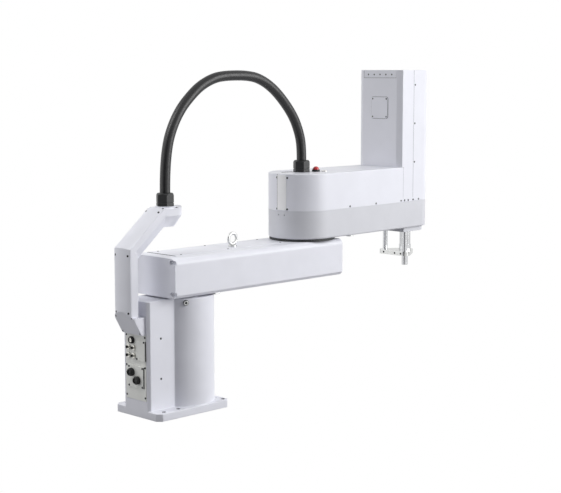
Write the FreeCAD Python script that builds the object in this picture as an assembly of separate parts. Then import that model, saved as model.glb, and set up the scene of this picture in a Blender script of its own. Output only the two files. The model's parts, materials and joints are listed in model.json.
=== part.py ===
# Heavy-payload SCARA robot: a base column with a cable duct, two horizontal arms,
# a Z tower with a ball screw and a splined tool shaft, and a hose arching over the arms.
import FreeCAD, Part
import math
import os

V = FreeCAD.Vector

# Clearances and wall thicknesses
SEAT_GAP = 0.3
RUNNING_FIT = 0.05
SCREW_PLAY = 0.1
COVER_WALL = 4.0
SKIN_WALL = 3.0

# Base flange, column and cable box
FLANGE_REAR = 170.5
FLANGE_FRONT = 100.4
FLANGE_HALF = 99.5
FLANGE_THICK = 22.0
FLANGE_CORNER = 13.8
FLANGE_HOLE_R = 6.0
FLANGE_HOLE_SIDE = 18.0
FLANGE_HOLE_REAR = 32.0
FLANGE_HOLE_FRONT = 14.4
FLANGE_PAIR_SPACING = 53.5
EARTH_HOLE_R = 2.5
EARTH_HOLE_SPOT = (82.0, -56.0)
COLUMN_R = 94.5
COLUMN_TOP = 333.5
COLUMN_WALL = 14.0
COLUMN_TOP_WALL = 14.0
BOX_HALF = 56.5
BOX_CHAMFER = 7.0
BOX_WALL = 8.0
BOX_SCREW_X = -125.7
BOX_SCREW_ROWS = (111.0, 226.0)

# Joint 1 drive inside the column
J1_BORE_R = 60.0
J1_REDUCER_R = 72.0
J1_REDUCER_DEPTH = 40.0
J1_MOTOR_R = 45.0
J1_MOTOR_LENGTH = 140.0
PILOT_R = 30.0
PILOT_DEPTH = 20.0
J1_FLANGE_R = 64.0
ARM_GAP_1 = 5.3
STOP_BOLT_R = 8.0
STOP_BOLT_LENGTH = 12.0
STOP_BOLT_DROP = 12.0
STOP_BOLT_ANGLE = -123.0

# Connector panel on the rear face
PANEL_Y = -1.0
PANEL_HALF = 44.0
PANEL_LOW = 50.0
PANEL_HIGH = 238.0
PANEL_THICK = 4.0
PANEL_RECESS = 3.0
PANEL_SCREW_HALF = 40.5
PANEL_SCREW_ROWS = (60.0, 146.0, 232.0)
SUBPLATE_THICK = 2.5
UPPER_PLATE = (-43.7, -4.3, 164.0, 222.7)
LOWER_PLATE = (-35.8, 30.9, 84.8, 147.2)
POWER_SPOTS = ((12.8, 128.3), (-12.8, 107.8))
POWER_R = 11.7
POWER_LENGTH = 13.0
SIGNAL_SPOT = (14.0, 219.5)
SIGNAL_R = 10.5
SIGNAL_LENGTH = 9.0
AIR_SPOTS = ((28.5, 198.3), (5.9, 198.3), (28.5, 175.5), (5.9, 175.5))
AIR_R = 7.8
AIR_LENGTH = 10.0
AIR_NUT = 4.0
AIR_STEM_R = 4.4
AIR_BORE_R = 2.6
COLLAR_SHARE = 0.7
RING_SHARE = 0.8
BORE_SHARE = 0.62

# Cable duct standing behind the base
DUCT_REAR = 214.0
DUCT_HALF = 35.0
DUCT_CROWN = 6.0
DUCT_DEPTH = 27.0
DUCT_SLANT_DEPTH = 19.0
DUCT_LOW = 290.0
DUCT_BEND = 482.0
DUCT_TOP = 584.5
DUCT_SHOULDER = 92.0
DUCT_NOSE_X = -42.0
DUCT_NOSE_DEPTH = 20.0
DUCT_KEEL = 32.0
DUCT_KEEL_HALF = 14.0
FOOT_LOW = 239.0
FOOT_HALF = 43.0
FOOT_CORNER = 16.0
FOOT_TOE = 12.0
DUCT_SCREW_UP = (14.0, 174.5)
DUCT_SCREW_Y = 27.0
SLANT_SCREW_BACK = 14.0
PLATE_SCREW_X = (-88.0, -38.0)
GLAND_SEAT = 591.0
GLAND_BOSS_R = 29.0

# Hose and its glands
HOSE_R = 15.0
GLAND_FLATS = 46.0
GLAND_BODY_HEIGHT = 10.0
GLAND_NUT_HEIGHT = 27.0
GLAND_NOSE_R = 20.0
GLAND_TAPER = 6.0
GLAND_TURNED_SHARE = 0.97
BASE_GLAND_X = -57.0
ARM_GLAND_OFFSET = -3.0
HOSE_BEND_SHARE = 0.45

# Hose centre line as (distance ahead of the base gland, height), drawn for this gland spacing
HOSE_SPAN = 554.0
LOWER_ROUTE = ((0, 628), (0, 740), (43, 846), (117, 917), (177, 947), (231, 957), (282, 957))
UPPER_ROUTE = ((282, 957), (337, 957), (397, 938), (453, 901), (514, 838), (542, 785), (554, 739),
               (554, 696))

# Arm 1
ARM1_LENGTH = 500.0
ARM1_REAR = 105.3
ARM1_HALF = 98.0
ARM1_HEIGHT = 112.7
ARM1_FRONT = 81.5
ARM1_ROUND = 18.0
ARM1_BEVEL = 9.0
ARM1_CAP = 8.0
ARM1_WALL = 14.0
FRONT_CAP_THICK = 6.0
FRONT_CAP_INSET = 11.0
POCKET_R = 6.0
POCKET_DEPTH = 5.0
POCKET_TOP = (18.0, 11.0)
POCKET_LOW = (15.0, 12.5)
TOP_COVER_NEAR = 40.0
TOP_COVER_FAR = 78.0
TOP_COVER_REAR = -43.0
TOP_COVER_BACK = 120.0
TOP_COVER_GROOVE = 2.0
TOP_COVER_THICK = 3.0
TOP_COVER_PROUD = 0.6
TOP_COVER_LAP = 8.0
EYE_BOLT_X = 203.0
EYE_BOLT_RING_R = 18.0
EYE_BOLT_WIRE_R = 4.5
EYE_BOLT_COLLAR_R = 12.0
EYE_BOLT_COLLAR_HEIGHT = 7.0
EYE_BOLT_SHANK_R = 5.0
EYE_BOLT_SHANK = 15.0
J1_STOP_SIZE = (16.0, 12.0, 4.5)
J1_STOP_SPOT = (62.0, -82.0)

# Joint 2 drive
J2_REDUCER_R = 70.0
J2_REDUCER_DEPTH = 60.0
J2_RING_R = 102.0
ARM_GAP_2 = 7.3
J2_MOTOR_R = 42.0
J2_MOTOR_LENGTH = 130.0

# Arm 2
ARM2_LENGTH = 500.0
ARM2_REAR_R = 104.6
ARM2_TIP_HALF = 86.3
ARM2_TIP_CORNER = 60.0
TIP_OVERHANG = 38.0
CASTING_HEIGHT = 87.2
COVER_HEIGHT = 113.0
CASTING_WALL = 10.0
CASTING_FLOOR = 12.0
CASTING_EDGE = 5.0
COVER_EDGE = 3.0
STRIP_START = 178.6
STRIP_END = 196.6
STRIP_THICK = 1.6
STRIP_MARGIN = 2.0
STRIP_SCREW_TURN = 1.7
STRIP_SCREW_HEIGHTS = (551.0, 647.0)
TAP_HOLE_R = 2.2
TAP_HOLE_DEPTH = 4.0
TAP_HOLE_TURNS = (181.0, 193.0)
TAP_HOLE_Z = 533.0
TOP_SLOT = (442.0, 491.0, 30.0, 36.0)
BUTTON_OFFSET = 41.0
BUTTON_Y = -20.0
BUTTON_R = 12.0
BUTTON_HEIGHT = 9.0
BUTTON_STEM_R = 6.0
BUTTON_TRAVEL = 3.0
BEZEL_R = 12.5
BEZEL_HEIGHT = 4.0
BEZEL_STEM_R = 9.0
PORT_OFFSET = 61.0
PORT_Y = -37.0
PORT_R = 9.0
PORT_HEIGHT = 3.0
STOP_PIN_OFFSET = 142.0
STOP_PIN_Y = -72.0
STOP_PIN_R = 12.0
STOP_PIN_HEIGHT = 6.2

# Z tower, with places measured back from the tool shaft axis
TOWER_BACK = 135.6
SIDE_START_BACK = 119.0
TOWER_SPLIT_BACK = 67.5
TOWER_HEIGHT = 289.0
TOWER_CAP_HEIGHT = 25.0
TOWER_CHAMFER = 10.0
TOWER_CHAMFER_WIDTH = 18.4
CAP_STRIP_HALF = 69.0
CAP_PLAY = 0.4
HATCH_HALF_WIDTH = 34.8
HATCH_LOW = 157.0
HATCH_HIGH = 226.5
HATCH_CORNER = 7.0
HATCH_THICK = 1.6
BASE_PLATE_BACK = 101.0
BASE_PLATE_INSET = 11.0
BASE_PLATE_THICK = 14.8
TOP_BRACKET_THICK = 6.0
TOP_BRACKET_DROP = 18.0

# Z axis and tool shaft
Z_STROKE = 400.0
SHAFT_R = 18.5
SHAFT_TOP = 925.0
SHAFT_END_R = 10.5
SHAFT_END_LENGTH = 40.0
SHAFT_END_CHAMFER = 1.0
SHAFT_COLLAR_R = 20.0
SHAFT_COLLAR_HEIGHT = 16.0
LINK_LOW = 359.0
LINK_THICK = 14.3
LINK_BOSS_R = 27.0
LINK_ROD_R = 18.0
CLAMP_SLIT = 1.0
ROD_R = 8.0
ROD_BACK = 52.0
ROD_Y = 43.0
BUSHING_R = 13.0
BUSHING_HEIGHT = 12.0
CARRIAGE_LOW = 887.0
CARRIAGE_THICK = 28.0
SCREW_AXIS_BACK = 50.0
BALL_SCREW_R = 7.0
BALL_NUT_R = 15.0
SCREW_BEARING_R = 13.0
SCREW_BEARING_HEIGHT = 12.0
Z_MOTOR_BACK = 107.0
Z_MOTOR_R = 24.0
Z_MOTOR_LENGTH = 130.0
PULLEY_HEIGHT = 10.0
BELT_WALL = 1.8
BELT_WIDTH = 8.0
BELT_PLAY = 0.2
PULLEY_GAP = 2.0
SCREW_PULLEY_R = 15.0
MOTOR_PULLEY_R = 12.0
NUT_R = 22.5
NUT_PULLEY_R = 25.0
J4_MOTOR_BACK = 115.0
J4_MOTOR_R = 26.0
J4_MOTOR_LENGTH = 90.0
J4_BRACKET_THICK = 5.0
J4_BRACKET_HALF = 29.0
J4_BRACKET_SIDE = 35.0
J4_LEG_R = 4.0

# Screws
SCREW_R = 3.0
SCREW_SINK = 2.4
SCREW_PROUD = 0.7
CLAMP_SCREW_Y = (34.0, -14.0, -40.0)
COVER_SCREW_START = 112.0
COVER_SCREW_BACK = 130.0
TIP_SCREWS_BACK = (111.0, 92.0, 66.0, 37.0)
TOWER_SCREW_UP = (15.0, 141.0, 266.0)
CAP_SCREW_Y = (-50.0, -25.0, 0.0, 25.0, 50.0)

# Heights and places that follow from the sizes above
ARM1_LOW = COLUMN_TOP + ARM_GAP_1
ARM1_TOP = ARM1_LOW + ARM1_HEIGHT
ARM2_LOW = ARM1_TOP + ARM_GAP_2
SEAM = ARM2_LOW + CASTING_HEIGHT
ARM2_TOP = SEAM + COVER_HEIGHT
TOWER_JOIN = ARM2_TOP + TOWER_HEIGHT
TOWER_TOP = TOWER_JOIN + TOWER_CAP_HEIGHT
FLOOR_TOP = ARM2_LOW + CASTING_FLOOR
SHAFT_X = ARM1_LENGTH + ARM2_LENGTH
TIP_X = SHAFT_X + TIP_OVERHANG
TOWER_REAR_X = SHAFT_X - TOWER_BACK
SIDE_START_X = SHAFT_X - SIDE_START_BACK
SPLIT_X = SHAFT_X - TOWER_SPLIT_BACK
ROD_X = SHAFT_X - ROD_BACK
SCREW_AXIS_X = SHAFT_X - SCREW_AXIS_BACK
Z_MOTOR_X = SHAFT_X - Z_MOTOR_BACK
J4_MOTOR_X = SHAFT_X - J4_MOTOR_BACK
ARM_GLAND_X = ARM1_LENGTH + ARM_GLAND_OFFSET
BUTTON_X = ARM1_LENGTH + BUTTON_OFFSET
PORT_X = ARM1_LENGTH + PORT_OFFSET
STOP_PIN_X = ARM1_LENGTH + STOP_PIN_OFFSET
TOP_COVER_FRONT = ARM1_LENGTH - TOP_COVER_BACK
LINK_TOP = LINK_LOW + LINK_THICK
CARRIAGE_TOP = CARRIAGE_LOW + CARRIAGE_THICK
BELT_LOW = FLOOR_TOP + 2 * PULLEY_GAP
TOP_BRACKET_LOW = TOWER_JOIN - TOP_BRACKET_DROP
BELT_HIGH = TOP_BRACKET_LOW + TOP_BRACKET_THICK + PULLEY_GAP
GLAND_HEIGHT = GLAND_BODY_HEIGHT + GLAND_NUT_HEIGHT
CROWN_R = (DUCT_HALF ** 2 + DUCT_CROWN ** 2) / (2 * DUCT_CROWN)


def box(x0, x1, y0, y1, z0, z1):
    return Part.makeBox(x1 - x0, y1 - y0, z1 - z0, V(x0, y0, z0))


def rod(r, x, y, z0, z1):
    return Part.makeCylinder(r, z1 - z0, V(x, y, z0))


def tube(outer, inner, x, y, z0, z1):
    return rod(outer, x, y, z0, z1).cut(rod(inner, x, y, z0, z1))


def prism(points, z0, z1):
    """Upright solid on a closed outline of (x, y) corners."""
    wire = Part.makePolygon([V(x, y, z0) for x, y in points] + [V(*points[0], z0)])
    return Part.Face(wire).extrude(V(0, 0, z1 - z0))


def side_prism(points, y0, y1):
    """Solid across the robot on a closed outline of (x, z) corners."""
    wire = Part.makePolygon([V(x, y0, z) for x, z in points] + [V(points[0][0], y0, points[0][1])])
    return Part.Face(wire).extrude(V(0, y1 - y0, 0))


def hull(circles, z0, z1):
    """Upright solid inside a belt round circles (x, y, r), listed anticlockwise."""
    edges = []
    spans = []
    for (xa, ya, ra), (xb, yb, rb) in zip(circles, circles[1:] + circles[:1]):
        run = math.atan2(yb - ya, xb - xa)
        out = run - math.acos((ra - rb) / math.hypot(xb - xa, yb - ya))
        spans.append(out)
        start = V(xa + ra * math.cos(out), ya + ra * math.sin(out), z0)
        end = V(xb + rb * math.cos(out), yb + rb * math.sin(out), z0)
        edges.append(Part.makeLine(start, end))
    for (x, y, r), before, after in zip(circles, spans[-1:] + spans[:-1], spans):
        turn = (after - before) % (2 * math.pi)
        spots = [V(x + r * math.cos(a), y + r * math.sin(a), z0)
                 for a in (before, before + turn / 2, before + turn)]
        edges.append(Part.Arc(*spots).toShape())
    wire = Part.Wire(Part.__sortEdges__(edges))
    return Part.Face(wire).extrude(V(0, 0, z1 - z0))


def edges_at(shape, z, vertical=False):
    """Edges lying flat at height z, or the upright edges."""
    if vertical:
        return [e for e in shape.Edges if e.BoundBox.XLength < 0.01 and e.BoundBox.YLength < 0.01]
    return [e for e in shape.Edges if abs(e.BoundBox.ZMin - z) < 0.01 and abs(e.BoundBox.ZMax - z) < 0.01]


def rounded_box(x0, x1, y0, y1, z0, z1, r):
    solid = box(x0, x1, y0, y1, z0, z1)
    return solid.makeFillet(r, edges_at(solid, z0, vertical=True))


def save(name, *shapes):
    solid = shapes[0] if len(shapes) == 1 else Part.makeCompound(list(shapes))
    solid.exportStep("parts/" + name + ".step")


class Screws:
    """Cap screws sunk in a surface: each one has a spot on it and an outward direction."""

    def __init__(self, radius=SCREW_R, sink=SCREW_SINK, proud=SCREW_PROUD):
        self.radius, self.sink, self.proud = radius, sink, proud
        self.spots = []

    def add(self, spot, outward):
        self.spots.append((V(*spot), V(*outward).normalize()))

    def solids(self):
        length = self.sink + self.proud
        return [Part.makeCylinder(self.radius, length, p - n * self.sink, n) for p, n in self.spots]

    def cut(self, shape):
        radius = self.radius + SCREW_PLAY
        for p, n in self.spots:
            shape = shape.cut(Part.makeCylinder(radius, 2 * self.sink, p - n * self.sink, n))
        return shape


# Base

def flange():
    plate = box(-FLANGE_REAR, FLANGE_FRONT, -FLANGE_HALF, FLANGE_HALF, 0, FLANGE_THICK)
    plate = plate.makeChamfer(FLANGE_CORNER, edges_at(plate, 0, vertical=True))
    for x, y in flange_holes():
        plate = plate.cut(rod(FLANGE_HOLE_R, x, y, 0, FLANGE_THICK))
    return plate.cut(rod(EARTH_HOLE_R, *EARTH_HOLE_SPOT, FLANGE_THICK / 2, FLANGE_THICK))


def flange_holes():
    rear = FLANGE_HOLE_REAR - FLANGE_REAR
    front = FLANGE_FRONT - FLANGE_HOLE_FRONT
    side = FLANGE_HALF - FLANGE_HOLE_SIDE
    corners = [(x, y) for x in (rear, front) for y in (-side, side)]
    return corners + [(rear + FLANGE_PAIR_SPACING, y) for y in (-side, side)]


def base_casting(screws):
    column = rod(COLUMN_R, 0, 0, FLANGE_THICK, COLUMN_TOP)
    trunk = box(-FLANGE_REAR, 0, -BOX_HALF, BOX_HALF, FLANGE_THICK, COLUMN_TOP)
    rear_edges = [e for e in edges_at(trunk, 0, vertical=True) if e.BoundBox.XMax < -BOX_HALF]
    body = trunk.makeChamfer(BOX_CHAMFER, rear_edges).fuse(column)
    body = body.fuse(flange()).removeSplitter()
    ceiling = COLUMN_TOP - COLUMN_TOP_WALL
    hollow = rod(COLUMN_R - COLUMN_WALL, 0, 0, FLANGE_THICK, ceiling)
    inner = BOX_HALF - BOX_WALL
    channel = box(BOX_WALL - FLANGE_REAR, 0, -inner, inner, FLANGE_THICK, ceiling)
    window = box(-FLANGE_REAR, 0, PANEL_Y - PANEL_SCREW_HALF + 2 * SCREW_R,
                 PANEL_Y + PANEL_SCREW_HALF - 2 * SCREW_R, PANEL_LOW + 4 * SCREW_R,
                 PANEL_HIGH - 4 * SCREW_R)
    recess = box(-FLANGE_REAR, PANEL_RECESS - FLANGE_REAR, PANEL_Y - PANEL_HALF, PANEL_Y + PANEL_HALF,
                 PANEL_LOW, PANEL_HIGH)
    body = body.cut(hollow.fuse([channel, window, recess, rod(J1_BORE_R, 0, 0, ceiling, COLUMN_TOP)]))
    return screws.cut(stop_bolt_seat(body))


def stop_bolt_axis():
    turn = math.radians(STOP_BOLT_ANGLE)
    return V(math.cos(turn), math.sin(turn), 0)


def stop_bolt_seat(body):
    out = stop_bolt_axis()
    start = out * (COLUMN_R - COLUMN_TOP_WALL + SEAT_GAP) + V(0, 0, COLUMN_TOP - STOP_BOLT_DROP)
    return body.cut(Part.makeCylinder(STOP_BOLT_R / 2, COLUMN_TOP_WALL, start, out))


def stop_bolt():
    out = stop_bolt_axis()
    height = V(0, 0, COLUMN_TOP - STOP_BOLT_DROP)
    head_start = COLUMN_R + SEAT_GAP
    shank_start = COLUMN_R - COLUMN_TOP_WALL + 2 * SEAT_GAP
    head = Part.makeCylinder(STOP_BOLT_R, STOP_BOLT_LENGTH / 2, out * head_start + height, out)
    shank = Part.makeCylinder(STOP_BOLT_R / 2 - SCREW_PLAY, head_start - shank_start,
                              out * shank_start + height, out)
    return head.fuse(shank)


def panel_screws():
    screws = Screws()
    face = PANEL_RECESS - PANEL_THICK - FLANGE_REAR
    for z in PANEL_SCREW_ROWS:
        for y in (PANEL_Y - PANEL_SCREW_HALF, PANEL_Y + PANEL_SCREW_HALF):
            screws.add((face, y, z), (-1, 0, 0))
    return screws


def subplate_screws():
    screws = Screws()
    face = PANEL_RECESS - PANEL_THICK - FLANGE_REAR - SUBPLATE_THICK
    inset = 1.4 * SCREW_R
    y0, y1, z0, z1 = UPPER_PLATE
    spots = [(y0 + inset, z1 - inset), (y1 - inset, z0 + inset)]
    y0, y1, z0, z1 = LOWER_PLATE
    spots += [(y, z) for y in (y0 + inset, y1 - inset) for z in (z0 + inset, z1 - inset)]
    for y, z in spots:
        screws.add((face, y, z), (-1, 0, 0))
    return screws


def box_screws():
    screws = Screws()
    for z in BOX_SCREW_ROWS:
        for side in (-1, 1):
            screws.add((BOX_SCREW_X, side * BOX_HALF, z), (0, side, 0))
    return screws


def connector_panel(screws):
    front = PANEL_RECESS - FLANGE_REAR
    play = SEAT_GAP / 2
    plate = box(front - PANEL_THICK, front, PANEL_Y - PANEL_HALF + play, PANEL_Y + PANEL_HALF - play,
                PANEL_LOW + play, PANEL_HIGH - play)
    return screws.cut(plate)


def subplate(outline, screws):
    y0, y1, z0, z1 = outline
    face = PANEL_RECESS - PANEL_THICK - FLANGE_REAR
    plate = box(face - SUBPLATE_THICK, face, y0, y1, z0, z1)
    return screws.cut(plate)


def socket(y, z, r, length, mount=0.0):
    """Round connector: a thick collar, a smaller ring ahead of it and a recessed face."""
    face = PANEL_RECESS - PANEL_THICK - FLANGE_REAR - mount
    back = V(-1, 0, 0)
    collar = Part.makeCylinder(r, length * COLLAR_SHARE, V(face, y, z), back)
    ring = Part.makeCylinder(r * RING_SHARE, length, V(face, y, z), back)
    hollow = Part.makeCylinder(r * BORE_SHARE, length, V(face - length / 2, y, z), back)
    return collar.fuse(ring).cut(hollow)


def air_fitting(y, z):
    """Push-in fitting: a round nut against the panel and a narrow open collar."""
    face = PANEL_RECESS - PANEL_THICK - FLANGE_REAR
    back = V(-1, 0, 0)
    nut = Part.makeCylinder(AIR_R, AIR_NUT, V(face, y, z), back)
    stem = Part.makeCylinder(AIR_STEM_R, AIR_LENGTH, V(face, y, z), back)
    bore = Part.makeCylinder(AIR_BORE_R, AIR_LENGTH, V(face - AIR_LENGTH / 2, y, z), back)
    return nut.fuse(stem).cut(bore)


def j1_reducer():
    ceiling = COLUMN_TOP - COLUMN_TOP_WALL
    body = rod(J1_REDUCER_R, 0, 0, ceiling - J1_REDUCER_DEPTH, ceiling)
    hub = rod(J1_BORE_R - RUNNING_FIT, 0, 0, ceiling, COLUMN_TOP)
    pilot = rod(PILOT_R + RUNNING_FIT, 0, 0, COLUMN_TOP - PILOT_DEPTH - SEAT_GAP, COLUMN_TOP)
    return body.fuse(hub).cut(pilot)


def j1_motor():
    top = COLUMN_TOP - COLUMN_TOP_WALL - J1_REDUCER_DEPTH
    return rod(J1_MOTOR_R, 0, 0, top - J1_MOTOR_LENGTH, top)


# Cable duct

def duct_slope():
    """Unit vectors along and square to the slanted stretch, in the XZ plane."""
    along = V(DUCT_REAR - DUCT_SHOULDER, 0, DUCT_TOP - DUCT_BEND).normalize()
    return along, V(along.z, 0, -along.x)


def duct_line():
    """Corners of the duct's rear edge with the mitre directions through them."""
    _, square = duct_slope()
    corners = [V(-DUCT_REAR, 0, 0), V(-DUCT_REAR, 0, DUCT_BEND), V(-DUCT_SHOULDER, 0, DUCT_TOP),
               V(DUCT_NOSE_X + DUCT_HALF, 0, DUCT_TOP)]
    normals = [V(1, 0, 0), square, V(0, 0, -1)]
    mitres = [normals[0]]
    for a, b in zip(normals, normals[1:]):
        mitres.append((a + b) * (1 / (1 + a.dot(b))))
    return corners, mitres + [normals[2]], normals


def duct_stretch(index, depth, skin=0.0):
    """One straight stretch with a crowned back, thinned at the back by a skin."""
    corners, mitres, _ = duct_line()
    p, q = corners[index], corners[index + 1]
    mp, mq = mitres[index], mitres[index + 1]
    spots = [p - mp * DUCT_CROWN, q - mq * DUCT_CROWN, q + mq * depth, p + mp * depth]
    slab = side_prism([(v.x, v.z) for v in spots], -DUCT_HALF, DUCT_HALF)
    return slab.common(crown(index, skin))


def crown(index, skin=0.0):
    """Round bar whose back gives a stretch its crowned surface."""
    corners, _, normals = duct_line()
    along = (corners[index + 1] - corners[index]).normalize()
    centre = corners[index] + normals[index] * (CROWN_R - DUCT_CROWN + skin) - along * DUCT_TOP
    return Part.makeCylinder(CROWN_R, 3 * DUCT_TOP, centre, along)


def platform(skin=0.0):
    """Level stretch that carries the hose gland, with a round nose."""
    level = duct_stretch(2, DUCT_NOSE_DEPTH, skin)
    level = level.common(box(-DUCT_REAR, DUCT_NOSE_X, -DUCT_HALF, DUCT_HALF, 0, GLAND_SEAT))
    nose = rod(DUCT_HALF, DUCT_NOSE_X, 0, DUCT_TOP - DUCT_NOSE_DEPTH, GLAND_SEAT)
    return level.fuse(nose.common(crown(2, skin)))


def under_foot():
    """Everything below the slanted underside of the foot."""
    slope = (DUCT_LOW - FOOT_LOW) / (DUCT_REAR - SKIN_WALL - FLANGE_REAR - FOOT_TOE)
    rear = -DUCT_REAR - 2 * DUCT_CROWN
    toe = -FLANGE_REAR - FOOT_TOE
    high = FOOT_LOW + (toe - rear) * slope
    return side_prism([(rear, 0), (rear, high), (toe, FOOT_LOW), (-FLANGE_REAR, FOOT_LOW),
                       (-FLANGE_REAR, 0)], -DUCT_REAR, DUCT_REAR)


def duct_body():
    upright = duct_stretch(0, DUCT_DEPTH, SKIN_WALL)
    upright = upright.cut(box(-DUCT_REAR + SKIN_WALL, 0, -DUCT_HALF, DUCT_HALF, 0, DUCT_LOW))
    shell = upright.cut(under_foot())
    shell = shell.fuse([duct_stretch(1, DUCT_SLANT_DEPTH), platform(SKIN_WALL), duct_rib(), duct_keel()])
    seat = rod(GLAND_BOSS_R, BASE_GLAND_X, 0, DUCT_TOP, GLAND_SEAT)
    return duct_rear_screws().cut(shell.removeSplitter().cut(seat))


def slant_depth_point(index, depth):
    corners, mitres, _ = duct_line()
    return corners[index] + mitres[index] * depth


def duct_rib():
    """Bevelled front face of the slanted stretch."""
    _, square = duct_slope()
    start, end = slant_depth_point(1, DUCT_SLANT_DEPTH), slant_depth_point(2, DUCT_SLANT_DEPTH)
    side = V(0, 1, 0)
    deep = square * DUCT_KEEL
    section = [start - side * DUCT_HALF, start + side * DUCT_HALF,
               start + side * DUCT_KEEL_HALF + deep, start - side * DUCT_KEEL_HALF + deep]
    length = (end - start).Length
    return Part.Face(Part.makePolygon(section + section[:1])).extrude((end - start).normalize() * length)


def duct_keel():
    """Bevelled underside of the platform, narrowing downwards."""
    top = DUCT_TOP - DUCT_NOSE_DEPTH
    start = slant_depth_point(2, DUCT_SLANT_DEPTH).x
    wide = slab_outline(start, DUCT_NOSE_X, DUCT_HALF, top)
    narrow = slab_outline(start, DUCT_NOSE_X, DUCT_KEEL_HALF, top - DUCT_KEEL)
    return Part.makeLoft([wide, narrow], True, True)


def slab_outline(x0, x1, half, z):
    """Flat outline from x0, square, to a round end centred on x1."""
    arc = Part.Arc(V(x1, -half, z), V(x1 + half, 0, z), V(x1, half, z)).toShape()
    lines = [Part.makeLine(V(x1, half, z), V(x0, half, z)), Part.makeLine(V(x0, half, z), V(x0, -half, z)),
             Part.makeLine(V(x0, -half, z), V(x1, -half, z))]
    return Part.Wire([arc] + lines)


def duct_foot():
    """Bracket from the duct to the rear wall, with round corners and a slanted underside."""
    rear = -DUCT_REAR - SKIN_WALL
    block = box(rear, -FLANGE_REAR, -FOOT_HALF, FOOT_HALF, FOOT_LOW, DUCT_LOW)
    corners = [e for e in edges_at(block, 0, vertical=True) if e.BoundBox.XMax < rear + 1]
    return block.makeFillet(FOOT_CORNER, corners).cut(under_foot())


def crown_screw(screws, index, run, y):
    """Screw on the crowned back of a stretch, this far along its edge."""
    corners, _, normals = duct_line()
    along = (corners[index + 1] - corners[index]).normalize()
    out = normals[index] * -math.sqrt(1 - (y / CROWN_R) ** 2) + V(0, y / CROWN_R, 0)
    centre = corners[index] + normals[index] * (CROWN_R - DUCT_CROWN) + along * run
    spot = centre + out * CROWN_R
    screws.add((spot.x, spot.y, spot.z), (out.x, out.y, out.z))


def duct_rear_screws():
    screws = Screws()
    corners, _, _ = duct_line()
    slant = (corners[2] - corners[1]).Length
    for y in (-DUCT_SCREW_Y, DUCT_SCREW_Y):
        for up in DUCT_SCREW_UP:
            crown_screw(screws, 0, DUCT_LOW + up, y)
        crown_screw(screws, 1, slant - SLANT_SCREW_BACK, y)
    return screws


def duct_top_screws():
    screws = Screws()
    for x in PLATE_SCREW_X:
        for y in (-DUCT_SCREW_Y, DUCT_SCREW_Y):
            crown_screw(screws, 2, x + DUCT_SHOULDER, y)
    return screws


def duct_rear_cover(screws):
    """Crowned skin over the upright stretch, with its lower edge in line with the foot."""
    skin = duct_stretch(0, DUCT_DEPTH).cut(crown(0, SKIN_WALL))
    skin = skin.cut(box(-DUCT_REAR + SKIN_WALL, 0, -DUCT_HALF, DUCT_HALF, 0, DUCT_TOP))
    return screws.cut(skin.cut(under_foot()))


def gland_plate(screws):
    """Crowned skin over the platform, with a flat boss under the base gland."""
    skin = platform().cut(crown(2, SKIN_WALL))
    boss = rod(GLAND_BOSS_R, BASE_GLAND_X, 0, DUCT_TOP, GLAND_SEAT)
    return screws.cut(skin.fuse(boss).removeSplitter())


# Hose and glands

def gland_body(x, z):
    hexagon = Part.makePolygon(hexagon_points(x, z, GLAND_FLATS))
    return Part.Face(hexagon).extrude(V(0, 0, GLAND_BODY_HEIGHT))


def hexagon_points(x, z, flats):
    reach = flats / math.sqrt(3)
    corners = [V(x + reach * math.cos(a), reach * math.sin(a), z)
               for a in (math.radians(60 * k) for k in range(6))]
    return corners + corners[:1]


def gland_nut(x, z):
    """Dome nut: a hexagon whose top is turned down to a nose round the hose."""
    low = z + GLAND_BODY_HEIGHT
    high = low + GLAND_NUT_HEIGHT
    blank = Part.Face(Part.makePolygon(hexagon_points(x, low, GLAND_FLATS)))
    blank = blank.extrude(V(0, 0, GLAND_NUT_HEIGHT))
    corner = GLAND_FLATS / math.sqrt(3)
    turned_r = corner * GLAND_TURNED_SHARE
    turned = rod(turned_r, x, 0, low, high - GLAND_TAPER)
    cone = Part.makeCone(turned_r, GLAND_NOSE_R, GLAND_TAPER, V(x, 0, high - GLAND_TAPER))
    return blank.common(turned.fuse(cone))


def hose_tube(route):
    """Straight runs joined by arcs as large as the runs allow."""
    stretch = (ARM_GLAND_X - BASE_GLAND_X) / HOSE_SPAN
    spots = [V(BASE_GLAND_X + x * stretch, 0, z) for x, z in route]
    start = spots[0]
    edges = []
    for before, at, after in zip(spots, spots[1:], spots[2:]):
        back, ahead = (before - at), (after - at)
        turn = math.pi - back.getAngle(ahead)
        trim = HOSE_BEND_SHARE * min(back.Length, ahead.Length)
        radius = trim / math.tan(turn / 2)
        print("hose radius", round(radius, 1))
        first = at + back.normalize() * trim
        last = at + ahead.normalize() * trim
        middle = at + (back + ahead).normalize() * (math.hypot(radius, trim) - radius)
        edges.append(Part.makeLine(start, first))
        edges.append(Part.Arc(first, middle, last).toShape())
        start = last
    edges.append(Part.makeLine(start, spots[-1]))
    path = Part.Wire(edges)
    ring = Part.Wire(Part.makeCircle(HOSE_R, spots[0], spots[1] - spots[0]))
    solid = path.makePipeShell([ring], True, False)
    print("hose volume share", round(solid.Volume / (math.pi * HOSE_R ** 2 * path.Length), 4))
    return solid


# Arm 1

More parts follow.
